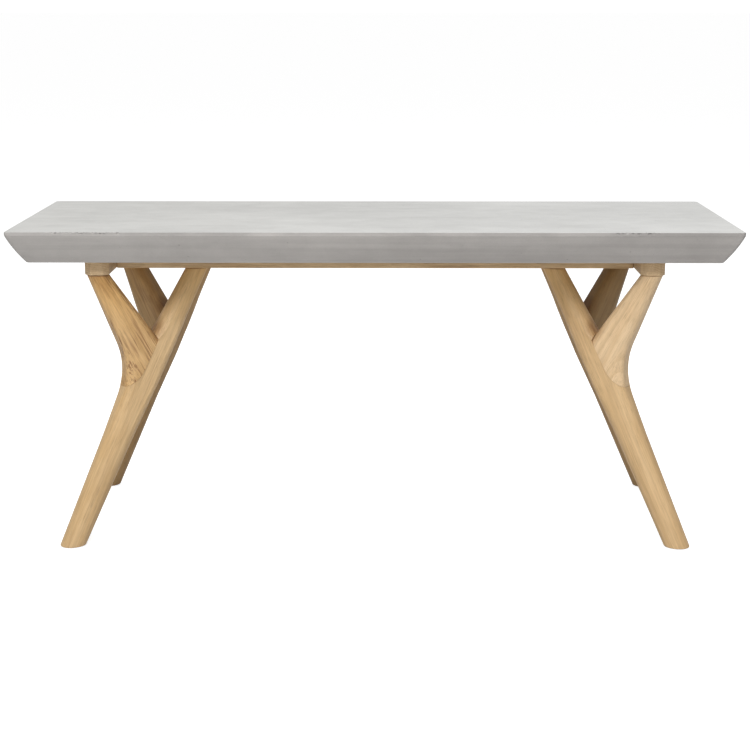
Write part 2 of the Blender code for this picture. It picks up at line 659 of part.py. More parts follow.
def build_frame():
    """One crossbar and one rail are cut; the others are the same turned half way round."""
    half_turn = Matrix.Rotation(math.pi, 4, "Z")
    crossbar = bar("crossbar", CROSSBAR_WIDTH, CROSSBAR_LENGTH, FRAME_THICKNESS,
                   (CROSSBAR_X, 0, FRAME_MIDDLE), CROSSBAR_NOSE)
    cutters = []
    for side_y in (-1, 1):
        cutters.append(bolt_hole(bolt_base(1, side_y)))
        leg_hole = dowel_hole(BRANCH_DOWEL_RADIUS, *BRANCH_DOWEL_ENDS)
        cutters.append(moved(leg_hole, leg_matrix(1, side_y)))
        for number in range(2):
            cutters.append(dowel_hole(RAIL_DOWEL_RADIUS, *rail_dowel_ends(1, side_y, number)))
    crossbar = cut("crossbar", crossbar, cutters)
    place("crossbar_right", crossbar, HARDWOOD)
    place("crossbar_left", crossbar, HARDWOOD, half_turn)

    rail = bar("rail", 2 * RAIL_END_X, RAIL_WIDTH, FRAME_THICKNESS, (0, RAIL_Y, FRAME_MIDDLE))
    cutters = []
    for side_x in (-1, 1):
        cutters.append(moved(post_screw_hole(), leg_matrix(side_x, 1)))
        for number in range(2):
            cutters.append(dowel_hole(RAIL_DOWEL_RADIUS, *rail_dowel_ends(side_x, 1, number)))
    rail = cut("rail", rail, cutters)
    place("rail_rear", rail, HARDWOOD)
    place("rail_front", rail, HARDWOOD, half_turn)

    for corner in CORNERS:
        for number, which in enumerate(("a", "b")):
            mesh = dowel("rail_dowel", RAIL_DOWEL_RADIUS, *rail_dowel_ends(*corner, number))
            place(f"rail_dowel_{which}_{corner_name(*corner)}", mesh, DOWEL_WOOD)


def build_slab_fixings():
    bolt = bolt_mesh()
    washer = washer_mesh()
    insert = insert_mesh()
    for corner in CORNERS:
        where = corner_name(*corner)
        at_frame = Matrix.Translation(bolt_base(*corner))
        place(f"slab_bolt_{where}", bolt, ZINC_STEEL, at_frame)
        place(f"slab_washer_{where}", washer, ZINC_STEEL, at_frame)
        place(f"slab_insert_{where}", insert, BRASS, Matrix.Translation(at_slab_bottom(*corner)))


build_slab()
build_frame()
build_legs()
build_slab_fixings()
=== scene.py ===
"""Garden bench: a cast concrete seat on a pale hardwood base with forked legs."""

import math
import random

import bmesh
import bpy
from mathutils import Matrix, Vector


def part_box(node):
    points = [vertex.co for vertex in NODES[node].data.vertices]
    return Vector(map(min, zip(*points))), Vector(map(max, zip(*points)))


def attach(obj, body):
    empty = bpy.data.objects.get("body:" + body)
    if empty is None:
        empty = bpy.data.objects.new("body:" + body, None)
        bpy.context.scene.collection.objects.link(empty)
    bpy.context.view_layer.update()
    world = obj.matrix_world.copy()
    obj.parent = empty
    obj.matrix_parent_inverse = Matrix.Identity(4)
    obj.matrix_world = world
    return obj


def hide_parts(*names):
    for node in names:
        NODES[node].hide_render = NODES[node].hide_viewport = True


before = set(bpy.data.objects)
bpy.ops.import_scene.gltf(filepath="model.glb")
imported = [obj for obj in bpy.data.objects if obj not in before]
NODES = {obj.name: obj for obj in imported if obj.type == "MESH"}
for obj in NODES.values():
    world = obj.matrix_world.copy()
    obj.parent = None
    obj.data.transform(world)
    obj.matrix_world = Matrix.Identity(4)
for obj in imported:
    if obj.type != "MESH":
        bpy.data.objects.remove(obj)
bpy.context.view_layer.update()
MILLIMETRE = 0.001
UP = Vector((0, 0, 1))
CORNERS = [(side_x, side_y) for side_y in (-1, 1) for side_x in (-1, 1)]


def corner_name(side_x, side_y):
    """Front is -Y and left is -X."""
    return ("front" if side_y < 0 else "rear") + "_" + ("left" if side_x < 0 else "right")


def middle_of(node):
    low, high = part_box(node)
    return (low + high) / 2


# ------------------------------ places read from the frame

SLAB_LOW, SLAB_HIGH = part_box("slab")
RAIL_LOW, RAIL_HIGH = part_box("rail_front")
BAR_LOW, BAR_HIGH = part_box("crossbar_right")
FOOT = middle_of("leg_glide_rear_right")
LEG_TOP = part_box("leg_post_front_left")[1].z
LEG_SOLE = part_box("leg_post_front_left")[0].z
FOOT_X, FOOT_Y = FOOT.x, FOOT.y
BAR_X = (BAR_LOW.x + BAR_HIGH.x) / 2
RAIL_Y = abs(RAIL_LOW.y + RAIL_HIGH.y) / 2


# ------------------------------ camera, light and floor

CAMERA_PLACE = (0.0195, -2.4893, 0.7453)
CAMERA_PITCH = math.radians(90) - 0.2105
CAMERA_YAW = 0.007
CAMERA_LENS = 82.43
CAMERA_SENSOR = 36
CAMERA_SHIFT_X = -0.0025
# Name, place, aim, width, height and power of each studio light.
LIGHTS = (
    ("key_light", (-0.5, -2.4, 3.0), (0, 0, 0.3), 2.6, 1.8, 104),
    ("top_light", (0.3, 0.6, 3.2), (0, 0, 0.4), 3.0, 2.0, 58),
    ("front_light", (-0.1, -3.6, 1.0), (0, 0, 0.25), 0.9, 0.9, 14),
)

camera = bpy.data.objects.new("camera", bpy.data.cameras.new("camera"))
bpy.context.scene.collection.objects.link(camera)
camera.location = CAMERA_PLACE
camera.rotation_euler = (CAMERA_PITCH, 0, CAMERA_YAW)
camera.data.lens = CAMERA_LENS
camera.data.sensor_width = CAMERA_SENSOR
camera.data.shift_x = CAMERA_SHIFT_X
bpy.context.scene.camera = camera
bpy.context.scene.view_settings.view_transform = "Standard"


def soft_box(name, place, aim, width, height, power):
    """A large soft studio light that points at aim."""
    light = bpy.data.lights.new(name, "AREA")
    light.shape = "RECTANGLE"
    light.size = width
    light.size_y = height
    light.energy = power
    lamp = bpy.data.objects.new(name, light)
    bpy.context.scene.collection.objects.link(lamp)
    lamp.location = place
    lamp.rotation_euler = (Vector(aim) - Vector(place)).to_track_quat("-Z", "Y").to_euler()


for light_settings in LIGHTS:
    soft_box(*light_settings)


# ------------------------------ node helpers

def node(tree, kind, **settings):
    made = tree.nodes.new(kind)
    for key, value in settings.items():
        setattr(made, key, value)
    return made


def feed(tree, socket, value):
    """Links a socket, or sets its own value."""
    if isinstance(value, bpy.types.NodeSocket):
        tree.links.new(value, socket)
    elif value is not None:
        socket.default_value = value


def calc(tree, operation, first, second=None, third=None):
    made = node(tree, "ShaderNodeMath", operation=operation)
    for socket, value in zip(made.inputs, (first, second, third)):
        feed(tree, socket, value)
    return made.outputs[0]


def vector_calc(tree, operation, first, second=None, scale=None):
    made = node(tree, "ShaderNodeVectorMath", operation=operation)
    feed(tree, made.inputs[0], first)
    feed(tree, made.inputs[1], second)
    if scale is not None:
        feed(tree, made.inputs["Scale"], scale)
    return made.outputs["Value"] if operation in ("LENGTH", "DOT_PRODUCT") else made.outputs[0]


def spread(tree, value, low, high, to_low=0.0, to_high=1.0):
    """A smooth step from low to high."""
    made = node(tree, "ShaderNodeMapRange", interpolation_type="SMOOTHSTEP")
    for socket, given in zip(made.inputs, (value, low, high, to_low, to_high)):
        feed(tree, socket, given)
    return made.outputs[0]


def blend_colours(tree, share, first, second, way="MIX"):
    made = node(tree, "ShaderNodeMix", data_type="RGBA", blend_type=way)
    for socket, given in ((made.inputs[0], share), (made.inputs[6], first), (made.inputs[7], second)):
        feed(tree, socket, given)
    return made.outputs[2]


def clouds(tree, place, stretch, seed, detail=3.0, roughness=0.5, warp=0.0):
    """Noise whose scale, in lumps per metre, is given for each direction."""
    scaled = vector_calc(tree, "MULTIPLY", place, stretch)
    made = node(tree, "ShaderNodeTexNoise", noise_dimensions="4D")
    feed(tree, made.inputs["Vector"], scaled)
    feed(tree, made.inputs["W"], seed)
    made.inputs["Scale"].default_value = 1.0
    made.inputs["Detail"].default_value = detail
    made.inputs["Roughness"].default_value = roughness
    made.inputs["Distortion"].default_value = warp
    return made


def shader_group(name, inputs, outputs):
    """An empty node group with named sockets; returns its tree, input node and output node."""
    tree = bpy.data.node_groups.new(name, "ShaderNodeTree")
    for label, kind, start in inputs:
        socket = tree.interface.new_socket(label, in_out="INPUT", socket_type=kind)
        if start is not None:
            socket.default_value = start
    for label, kind in outputs:
        tree.interface.new_socket(label, in_out="OUTPUT", socket_type=kind)
    return tree, node(tree, "NodeGroupInput"), node(tree, "NodeGroupOutput")


# ------------------------------ shared effects

def grey(tree, value):
    """A colour of equal parts, for brightening and darkening."""
    made = node(tree, "ShaderNodeCombineColor")
    for socket in made.inputs[:3]:
        feed(tree, socket, value)
    return made.outputs[0]


def make_wood_group():
    """Solid oak in the piece's own space: Z runs along the grain and X stands square to the face."""
    tree, given, result = shader_group(
        "solid_wood",
        [("Place", "NodeSocketVector", None), ("End Grain", "NodeSocketFloat", 0.0),
         ("Pale", "NodeSocketColor", (0.60, 0.42, 0.24, 1)),
         ("Deep", "NodeSocketColor", (0.40, 0.24, 0.11, 1)),
         ("Streak", "NodeSocketColor", (0.20, 0.10, 0.04, 1)), ("Streak Amount", "NodeSocketFloat", 0.3),
         ("Ring Width", "NodeSocketFloat", 0.006), ("Ring Amount", "NodeSocketFloat", 0.5),
         ("Wander", "NodeSocketFloat", 0.008), ("Heart", "NodeSocketVector", (0.03, 0.05, 0)),
         ("Darkening", "NodeSocketFloat", 0.0), ("Seed", "NodeSocketFloat", 1.0)],
        [("Color", "NodeSocketColor"), ("Roughness", "NodeSocketFloat"), ("Height", "NodeSocketFloat")])
    place, seed = given.outputs["Place"], given.outputs["Seed"]

    # The place is bent by slow noise, so that the grain wanders.
    drift = clouds(tree, place, (10, 10, 3.2), seed, detail=1.5).outputs["Color"]
    drift = vector_calc(tree, "SUBTRACT", drift, (0.5, 0.5, 0.5))
    drift = vector_calc(tree, "SCALE", drift, scale=given.outputs["Wander"])
    bent = vector_calc(tree, "ADD", place, drift)

    # Growth rings round the heart, darkest in the late wood, that come and go.
    from_heart = vector_calc(tree, "ADD", bent, given.outputs["Heart"])
    level = vector_calc(tree, "MULTIPLY", from_heart, (1, 1, 0.05))
    rings = calc(tree, "DIVIDE", vector_calc(tree, "LENGTH", level), given.outputs["Ring Width"])
    uneven = clouds(tree, place, (55, 55, 4), seed, detail=2.0).outputs["Fac"]
    rings = calc(tree, "FRACT", calc(tree, "MULTIPLY_ADD", uneven, 1.6, rings))
    late = calc(tree, "MULTIPLY", spread(tree, rings, 0.20, 0.86), spread(tree, rings, 0.88, 1.0, 1.0, 0.0))
    fade = clouds(tree, place, (28, 28, 6), calc(tree, "ADD", seed, 4.0), detail=2.0).outputs["Fac"]
    late = calc(tree, "MULTIPLY", late, spread(tree, fade, 0.36, 0.62, 0.25, 1.0))

    # Broad bands and blotches, fine fibres and vessels, and dark streaks in clusters.
    bands = clouds(tree, bent, (70, 70, 2.4), seed, detail=3.0).outputs["Fac"]
    blotches = clouds(tree, place, (34, 34, 16), calc(tree, "ADD", seed, 9.0), detail=3.0).outputs["Fac"]
    fibres = clouds(tree, bent, (640, 640, 15), seed, detail=3.0, roughness=0.6).outputs["Fac"]
    vessels = clouds(tree, place, (1350, 1350, 62), seed, detail=1.0).outputs["Fac"]
    vessels = spread(tree, vessels, 0.59, 0.68)
    lines = clouds(tree, bent, (360, 360, 7.0), seed, detail=4.0, roughness=0.66).outputs["Fac"]
    cluster = clouds(tree, place, (26, 26, 8), calc(tree, "ADD", seed, 17.0), detail=2.0).outputs["Fac"]
    dark_lines = calc(tree, "MULTIPLY", spread(tree, lines, 0.48, 0.61),
                      spread(tree, cluster, 0.34, 0.60, 0.20, 1.0))
    dark_lines = calc(tree, "MULTIPLY", dark_lines, given.outputs["Streak Amount"])

    # Colour: pale to deep by tone, then the streaks and darker spots, then the fibres.
    late = calc(tree, "MULTIPLY", late, given.outputs["Ring Amount"])
    tone = calc(tree, "ADD", late, spread(tree, bands, 0.36, 0.70, 0.0, 0.45))
    tone = calc(tree, "ADD", tone, spread(tree, blotches, 0.42, 0.72, -0.10, 0.30))
    tone = calc(tree, "ADD", tone, calc(tree, "MULTIPLY", given.outputs["Darkening"], 0.75))
    tone = calc(tree, "MINIMUM", calc(tree, "MAXIMUM", tone, 0.0), 1.0)
    colour = blend_colours(tree, tone, given.outputs["Pale"], given.outputs["Deep"])
    mottles = clouds(tree, bent, (260, 260, 60), calc(tree, "ADD", seed, 23.0), detail=4.0).outputs["Fac"]
    mottles = calc(tree, "MULTIPLY", spread(tree, mottles, 0.40, 0.60), given.outputs["Darkening"])
    dark_lines = calc(tree, "MULTIPLY_ADD", mottles, 0.40, dark_lines)
    dark_lines = calc(tree, "MULTIPLY_ADD", given.outputs["Darkening"], 0.30, dark_lines)
    dark_lines = calc(tree, "MINIMUM", dark_lines, 0.9)
    colour = blend_colours(tree, dark_lines, colour, given.outputs["Streak"])
    fibre_tone = spread(tree, fibres, 0.3, 0.7, 0.91, 1.07)
    fibre_tone = calc(tree, "SUBTRACT", fibre_tone, calc(tree, "MULTIPLY", vessels, 0.15))
    colour = blend_colours(tree, 1.0, colour, grey(tree, fibre_tone), "MULTIPLY")

    rough = calc(tree, "ADD", spread(tree, fibres, 0.3, 0.7, 0.50, 0.40),
                 calc(tree, "MULTIPLY", vessels, 0.15))
    rough = calc(tree, "ADD", rough, calc(tree, "MULTIPLY", given.outputs["End Grain"], 0.2))
    height = calc(tree, "SUBTRACT", calc(tree, "MULTIPLY", fibres, 0.5), vessels)
    feed(tree, result.inputs["Color"], colour)
    feed(tree, result.inputs["Roughness"], rough)
    feed(tree, result.inputs["Height"], height)
    return tree


def make_concrete_group():
    """Cast concrete in the slab's own space, with its layers, upper line darker in patches, and pinholes."""
    tree, given, result = shader_group(
        "cast_concrete",
        [("Place", "NodeSocketVector", None), ("Pale", "NodeSocketColor", (0.5, 0.5, 0.49, 1)),
         ("Deep", "NodeSocketColor", (0.4, 0.4, 0.39, 1)), ("Lower Edge", "NodeSocketFloat", 0.0),
         ("Upper Line", "NodeSocketFloat", 0.0), ("Side", "NodeSocketFloat", 0.0),
         ("Seed", "NodeSocketFloat", 1.0)],
        [("Color", "NodeSocketColor"), ("Roughness", "NodeSocketFloat"), ("Height", "NodeSocketFloat")])
    place, seed = given.outputs["Place"], given.outputs["Seed"]
    broad = clouds(tree, place, (4.5, 6, 6), seed, detail=5.0, roughness=0.6).outputs["Fac"]
    patches = clouds(tree, place, (19, 24, 24), seed, detail=6.0, roughness=0.62, warp=0.4).outputs["Fac"]
    trowel = clouds(tree, place, (3, 34, 9), seed, detail=4.0, roughness=0.6, warp=1.2).outputs["Fac"]
    sand = clouds(tree, place, (900, 900, 900), seed, detail=2.0).outputs["Fac"]
    grit = clouds(tree, place, (260, 260, 260), seed, detail=3.0, roughness=0.7).outputs["Fac"]

    # Pinholes: a few of the cells have a dark middle.
    cells = node(tree, "ShaderNodeTexVoronoi", feature="F1")
    feed(tree, cells.inputs["Vector"], place)
    cells.inputs["Scale"].default_value = 95.0
    chosen = node(tree, "ShaderNodeSeparateColor")
    feed(tree, chosen.inputs[0], cells.outputs["Color"])
    pins = calc(tree, "MULTIPLY", spread(tree, cells.outputs["Distance"], 0.05, 0.10, 1.0, 0.0),
                spread(tree, chosen.outputs[0], 0.86, 0.90))

    # Colour: pale to deep by tone, then everything that lightens or darkens it.
    tone = calc(tree, "ADD", spread(tree, broad, 0.35, 0.65, 0.0, 0.5),
                spread(tree, patches, 0.35, 0.70, 0.0, 0.4))
    tone = calc(tree, "ADD", tone, spread(tree, trowel, 0.35, 0.65, 0.0, 0.2))
    colour = blend_colours(tree, tone, given.outputs["Pale"], given.outputs["Deep"])
    speck = calc(tree, "ADD", spread(tree, sand, 0.3, 0.7, 0.97, 1.03),
                 spread(tree, grit, 0.62, 0.74, 0.0, -0.05))
    speck = calc(tree, "SUBTRACT", speck, calc(tree, "MULTIPLY", pins, 0.35))
    speck = calc(tree, "ADD", speck, calc(tree, "MULTIPLY", given.outputs["Lower Edge"], 0.10))
    layers = clouds(tree, place, (2.2, 30, 130), calc(tree, "ADD", seed, 6.0), detail=4.0, roughness=0.6)
    layers = calc(tree, "MULTIPLY", spread(tree, layers.outputs["Fac"], 0.36, 0.66, 0.035, -0.075),
                  given.outputs["Side"])
    upper_darkening = clouds(tree, place, (16, 60, 60), calc(tree, "ADD", seed, 12.0), detail=5.0).outputs["Fac"]
    upper_darkening = calc(tree, "MULTIPLY", spread(tree, upper_darkening, 0.38, 0.62, 0.0, -0.13), given.outputs["Upper Line"])
    wisps = clouds(tree, place, (7, 60, 9), calc(tree, "ADD", seed, 31.0),
                   detail=6.0, roughness=0.66, warp=0.8)
    wisps = spread(tree, wisps.outputs["Fac"], 0.54, 0.70, 0.0, -0.055)
    speck = calc(tree, "ADD", calc(tree, "ADD", speck, layers), calc(tree, "ADD", upper_darkening, wisps))
    colour = blend_colours(tree, 1.0, colour, grey(tree, speck), "MULTIPLY")
    height = calc(tree, "ADD", calc(tree, "MULTIPLY", sand, 0.25), calc(tree, "MULTIPLY", trowel, 0.35))
    height = calc(tree, "SUBTRACT", height, calc(tree, "MULTIPLY", pins, 1.0))
    feed(tree, result.inputs["Color"], colour)
    feed(tree, result.inputs["Roughness"], spread(tree, patches, 0.3, 0.7, 0.62, 0.74))
    feed(tree, result.inputs["Height"], height)
    return tree


WOOD_GROUP = make_wood_group()
CONCRETE_GROUP = make_concrete_group()


# ------------------------------ materials

def new_material(name):
    made = bpy.data.materials.new(name)
    made.use_nodes = True
    return made, made.node_tree, made.node_tree.nodes["Principled BSDF"]


def raise_surface(tree, shader, height, depth):
    """Bump of the given depth in metres."""
    bump = node(tree, "ShaderNodeBump")
    bump.inputs["Strength"].default_value = 1.0
    bump.inputs["Distance"].default_value = depth
    feed(tree, bump.inputs["Height"], height)
    feed(tree, shader.inputs["Normal"], bump.outputs["Normal"])


WOOD_RELIEF = 0.00012           # depth of each material's bump, in metres
CONCRETE_RELIEF = 0.00030
METAL_RELIEF = 0.00002
PLASTIC_RELIEF = 0.00004

# brown of the grain's dark streaks, also used for the painted shadow line round each limb's top
STREAK_AND_SHADOW_BROWN = (0.260, 0.130, 0.055)
DARK_SPOT_CORE = 0.30               # share of a dark spot's reach over which it is at its darkest
PAINTED_SHADE_FROM = 0.290             # painted shade: the wood is painted darker and warmer close under the seat, where the seat shades it
PAINTED_SHADE_TO = 0.380
PAINTED_SHADE_TONE = (1.0, 0.93, 0.76, 1)
SHADOW_LINE_DEPTH = 0.0020           # painted shadow: a dark line round each limb's top, where it butts under the frame
SHADOW_LINE_SHARE = 0.6


def grain_turn(along, face):
    """The turn from the bench's axes to a limb's own: Z along the grain, X square to the face."""
    z = along.normalized()
    x = (face - z * face.dot(z)).normalized()
    return Matrix((x, z.cross(x), z))


def wood(name, origin, along, face, shades, streak_amount, ring_width, ring_amount, wander, heart, seed,
         dark_spots=(), limb=False):
    """Oak for one piece. Shades are its pale and deep tone, dark spots are the (middle, reach, amount) of
    darker mottled spots, and a limb gets painted shade near its top and a painted shadow line round it."""
    pale, deep = shades
    made, tree, shader = new_material(name)
    turn = grain_turn(along, face)
    where = node(tree, "ShaderNodeTexCoord")
    mapping = node(tree, "ShaderNodeMapping", vector_type="POINT")
    mapping.inputs["Rotation"].default_value = turn.to_euler()
    mapping.inputs["Location"].default_value = -(turn @ origin)
    feed(tree, mapping.inputs["Vector"], where.outputs["Object"])
    facing = vector_calc(tree, "DOT_PRODUCT", where.outputs["Normal"], tuple(along.normalized()))
    figure = node(tree, "ShaderNodeGroup", node_tree=WOOD_GROUP)
    feed(tree, figure.inputs["Place"], mapping.outputs["Vector"])
    feed(tree, figure.inputs["End Grain"], spread(tree, calc(tree, "ABSOLUTE", facing), 0.70, 0.95))
    darkened = 0.0
    for middle, reach, amount in dark_spots:
        away = vector_calc(tree, "SUBTRACT", where.outputs["Object"], tuple(middle))
        away = vector_calc(tree, "LENGTH", away)
        darkened = calc(tree, "MAXIMUM", darkened, spread(tree, away, reach * DARK_SPOT_CORE, reach, amount, 0.0))
    feed(tree, figure.inputs["Darkening"], darkened)
    for label, value in (("Pale", (*pale, 1)), ("Deep", (*deep, 1)), ("Streak", (*STREAK_AND_SHADOW_BROWN, 1)),
                         ("Streak Amount", streak_amount), ("Ring Width", ring_width),
                         ("Ring Amount", ring_amount), ("Wander", wander), ("Heart", heart),
                         ("Seed", seed)):
        figure.inputs[label].default_value = value
    colour = figure.outputs["Color"]
    if limb:
        parts = node(tree, "ShaderNodeSeparateXYZ")
        feed(tree, parts.inputs[0], where.outputs["Object"])
        # painted shade: darker, warmer wood close under the seat
        shaded = spread(tree, parts.outputs["Z"], PAINTED_SHADE_FROM, PAINTED_SHADE_TO)
        colour = blend_colours(tree, shaded, colour, PAINTED_SHADE_TONE, "MULTIPLY")
        # painted shadow: a dark line round the limb's top
        shadow_line = spread(tree, parts.outputs["Z"], LEG_TOP - SHADOW_LINE_DEPTH, LEG_TOP - SHADOW_LINE_DEPTH / 2,
                        0.0, SHADOW_LINE_SHARE)
        colour = blend_colours(tree, shadow_line, colour, (*STREAK_AND_SHADOW_BROWN, 1))
    feed(tree, shader.inputs["Base Color"], colour)
    feed(tree, shader.inputs["Roughness"], figure.outputs["Roughness"])
    shader.inputs["Specular IOR Level"].default_value = 0.4
    raise_surface(tree, shader, figure.outputs["Height"], WOOD_RELIEF)
    return made


# Painted light and shade: the slab's top is painted lighter towards the right and its sides darker towards
# the right; the sides are also a warmer, darker grey than the top.
TOP_LEFT, TOP_RIGHT = (1.0, 1.0, 1.0, 1), (1.090, 1.095, 1.105, 1)
SIDE_LEFT, SIDE_RIGHT = (0.930, 0.893, 0.882, 1), (0.890, 0.850, 0.840, 1)
LIGHT_DRIFT_REACH = 0.45
LOWER_EDGE_RISE = (0.0010, 0.0030)      # worn pale, this far above the slab's bottom
UPPER_LINE_DROP = (0.0060, 0.0040)      # darker in patches above this, below the slab's top


def concrete(name, pale, deep, seed):
    """The slab's concrete, with its sides, edges and painted left-to-right light and shade, found from place
    and facing.
    """
    made, tree, shader = new_material(name)
    where = node(tree, "ShaderNodeTexCoord")
    parts = node(tree, "ShaderNodeSeparateXYZ")
    feed(tree, parts.inputs[0], where.outputs["Object"])
    facing = node(tree, "ShaderNodeSeparateXYZ")
    feed(tree, facing.inputs[0], where.outputs["Normal"])
    side = spread(tree, facing.outputs["Z"], 0.5, 0.95, 1.0, 0.0)
    lower_edge = spread(tree, parts.outputs["Z"], *(SLAB_LOW.z + rise for rise in LOWER_EDGE_RISE), 1.0, 0.0)
    line = spread(tree, parts.outputs["Z"], *(SLAB_HIGH.z - drop for drop in UPPER_LINE_DROP))
    line = calc(tree, "MULTIPLY", line, side)
    cast = node(tree, "ShaderNodeGroup", node_tree=CONCRETE_GROUP)
    feed(tree, cast.inputs["Place"], where.outputs["Object"])
    feed(tree, cast.inputs["Lower Edge"], lower_edge)
    feed(tree, cast.inputs["Upper Line"], line)
    feed(tree, cast.inputs["Side"], side)
    cast.inputs["Pale"].default_value = (*pale, 1)
    cast.inputs["Deep"].default_value = (*deep, 1)
    cast.inputs["Seed"].default_value = seed
    # painted light and shade: lighter towards the right on the top, darker towards the right on the sides
    rightwards = spread(tree, parts.outputs["X"], -LIGHT_DRIFT_REACH, LIGHT_DRIFT_REACH)
    on_top = blend_colours(tree, rightwards, TOP_LEFT, TOP_RIGHT)
    on_side = blend_colours(tree, rightwards, SIDE_LEFT, SIDE_RIGHT)
    drift = blend_colours(tree, side, on_top, on_side)
    colour = blend_colours(tree, 1.0, cast.outputs["Color"], drift, "MULTIPLY")
    feed(tree, shader.inputs["Base Color"], colour)
    feed(tree, shader.inputs["Roughness"], cast.outputs["Roughness"])
    shader.inputs["Specular IOR Level"].default_value = 0.35
    raise_surface(tree, shader, cast.outputs["Height"], CONCRETE_RELIEF)
    return made


slab_concrete = concrete("slab_concrete", (0.492, 0.489, 0.472), (0.408, 0.405, 0.391), 3.7)


# ------------------------------ modelling helpers

WELD = 0.000005                 # points closer than this are the same point
SLIVER = 0.00004                # points left this close by a cut are joined before edges are eased
EASED = 0.0003                  # rounding of a made edge
TURNED_ANGLE = 30.0             # edges sharper than this are eased on bars and metal
FLAT_ANGLE = 0.6                # faces that turn less than this are one face


def dress(piece, finish):
    piece.data.materials.clear()
    piece.data.materials.append(finish)


def only(piece):
    """Makes this piece the one selected and active object."""
    bpy.ops.object.select_all(action="DESELECT")
    piece.select_set(True)
    bpy.context.view_layer.objects.active = piece


def begin(name):
    """The primitive just added, named, alone, with its place in its mesh and in edit mode."""
    piece = bpy.context.object
    piece.name = name
    piece.data.name = name
    only(piece)
    bpy.ops.object.transform_apply(location=True, rotation=True, scale=True)
    bpy.ops.object.mode_set(mode="EDIT")
    return piece


def finish_editing(piece):
    bpy.ops.object.mode_set(mode="OBJECT")
    return piece


def pick(kind, test):
    """Selects only the vertices, edges or faces of the edited mesh that pass the test."""
    bpy.ops.mesh.select_mode(type={"verts": "VERT", "edges": "EDGE", "faces": "FACE"}[kind])
    bpy.ops.mesh.select_all(action="DESELECT")
    shape = bmesh.from_edit_mesh(bpy.context.edit_object.data)
    for part in getattr(shape, kind):
        part.select_set(test(part))
    shape.select_flush_mode()
    bmesh.update_edit_mesh(bpy.context.edit_object.data)


def apply_modifier(piece, kind, **settings):
    only(piece)
    step = piece.modifiers.new(kind.lower(), kind)
    for key, value in settings.items():
        setattr(step, key, value)
    bpy.ops.object.modifier_apply(modifier=step.name)


def carve(piece, tool, operation="DIFFERENCE"):
    """Cuts the piece with the tool, and puts the tool away."""
    apply_modifier(piece, "BOOLEAN", object=tool, operation=operation, solver="EXACT")
    bpy.data.objects.remove(tool, do_unlink=True)


def ease(piece, width, angle=40.0, segments=2):
    """Rounds over the piece's sharp edges, once points left almost touching are joined."""
    apply_modifier(piece, "WELD", merge_threshold=SLIVER)
    apply_modifier(piece, "BEVEL", width=width, segments=segments, limit_method="ANGLE",
                   angle_limit=math.radians(angle), miter_outer="MITER_ARC")


def smooth(piece, angle=35.0):
    """Smooth shading across shallow edges, and flat faces kept flat."""
    only(piece)
    bpy.ops.object.shade_smooth_by_angle(angle=math.radians(angle))
    apply_modifier(piece, "WEIGHTED_NORMAL", keep_sharp=True)


def copy_of(piece, name, matrix):
    """A copy with its own mesh, moved within the mesh."""
    mesh = piece.data.copy()
    mesh.name = name
    mesh.transform(matrix)
    made = bpy.data.objects.new(name, mesh)
    bpy.context.scene.collection.objects.link(made)
    return made


def merged_copy(node, name, matrix=Matrix.Identity(4)):
    """A CAD node's shape as one joined mesh of a new piece."""
    made = copy_of(NODES[node], name, matrix)
    made.data.materials.clear()
    only(made)
    bpy.ops.object.mode_set(mode="EDIT")
    bpy.ops.mesh.select_all(action="SELECT")
    bpy.ops.mesh.customdata_custom_splitnormals_clear()
    bpy.ops.mesh.remove_doubles(threshold=WELD)
    bpy.ops.mesh.dissolve_limited(angle_limit=math.radians(FLAT_ANGLE))
    bpy.ops.object.mode_set(mode="OBJECT")
    return made


def hole_for(node, matrix, gap):
    """A cutting tool the shape of a CAD node and a little larger."""
    tool = merged_copy(node, "hole_for_" + node, matrix)
    bpy.ops.object.mode_set(mode="EDIT")
    bpy.ops.mesh.select_all(action="SELECT")
    bpy.ops.transform.shrink_fatten(value=-gap)
    bpy.ops.object.mode_set(mode="OBJECT")
    return tool


def settle(piece, finish, slot_name, *nodes):
    """Finish, body and the CAD nodes that the piece stands for; the slot name is not used."""
    dress(piece, finish)
    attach(piece, "root")
    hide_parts(*nodes)
    return piece


# ------------------------------ legs: outline in the leg's own plane
# u runs from the middle of the foot towards the middle of the bench, along the leg's plane.

POST_RUN = 0.2010
FOOT_WIDTH = 0.0361
POST_SWELL_WIDTH = 0.0500
POST_TOP_WIDTH = 0.0312
BRANCH_TOP_WIDTH = 0.0300
SWELL_DROP = 0.1590
BRANCH_OUTER_LEAN = 0.42
BRANCH_INNER_LEAN = 0.705
ELBOW_RADIUS = 0.097
FOOT_HALF_THICKNESS = 0.0165
FORK_HALF_THICKNESS = 0.0188
POST_TOP_HALF_THICKNESS = 0.0147
BRANCH_TOP_HALF_THICKNESS = 0.0150
FOOT_RIM = 0.0015
HEAD_RIM = 0.0007
JOINT_GAP = 0.0003
GLUE_NOTCH_DEPTH = 0.0092
GLUE_NOTCH_SHIFT = 0.0028
GLUE_FACE_LENGTH = 0.0443
GLUE_FACE_LEAN = 0.545
GLUE_HEEL_RADIUS = 0.053
GLUE_HEEL_TURN = math.radians(39)
GLUE_HEEL_STEPS = 9
CUTTER_MARGIN = 0.060
FORK_MERGE_DROP = 0.036
BRANCH_BLANK_DROP = 0.014

LEG_TURN = math.asin((FOOT_Y - RAIL_Y) / POST_RUN)
BRANCH_TOP_U = (FOOT_X - BAR_X) / math.cos(LEG_TURN)
SWELL_Z = LEG_TOP - SWELL_DROP
HALF_FOOT = FOOT_WIDTH / 2


def between(low, high, share):
    return low + (high - low) * min(1.0, max(0.0, share))


def post_inner(z):
    """The straight edge that faces the middle of the bench."""
    return between(HALF_FOOT, POST_RUN + POST_TOP_WIDTH / 2, z / LEG_TOP)


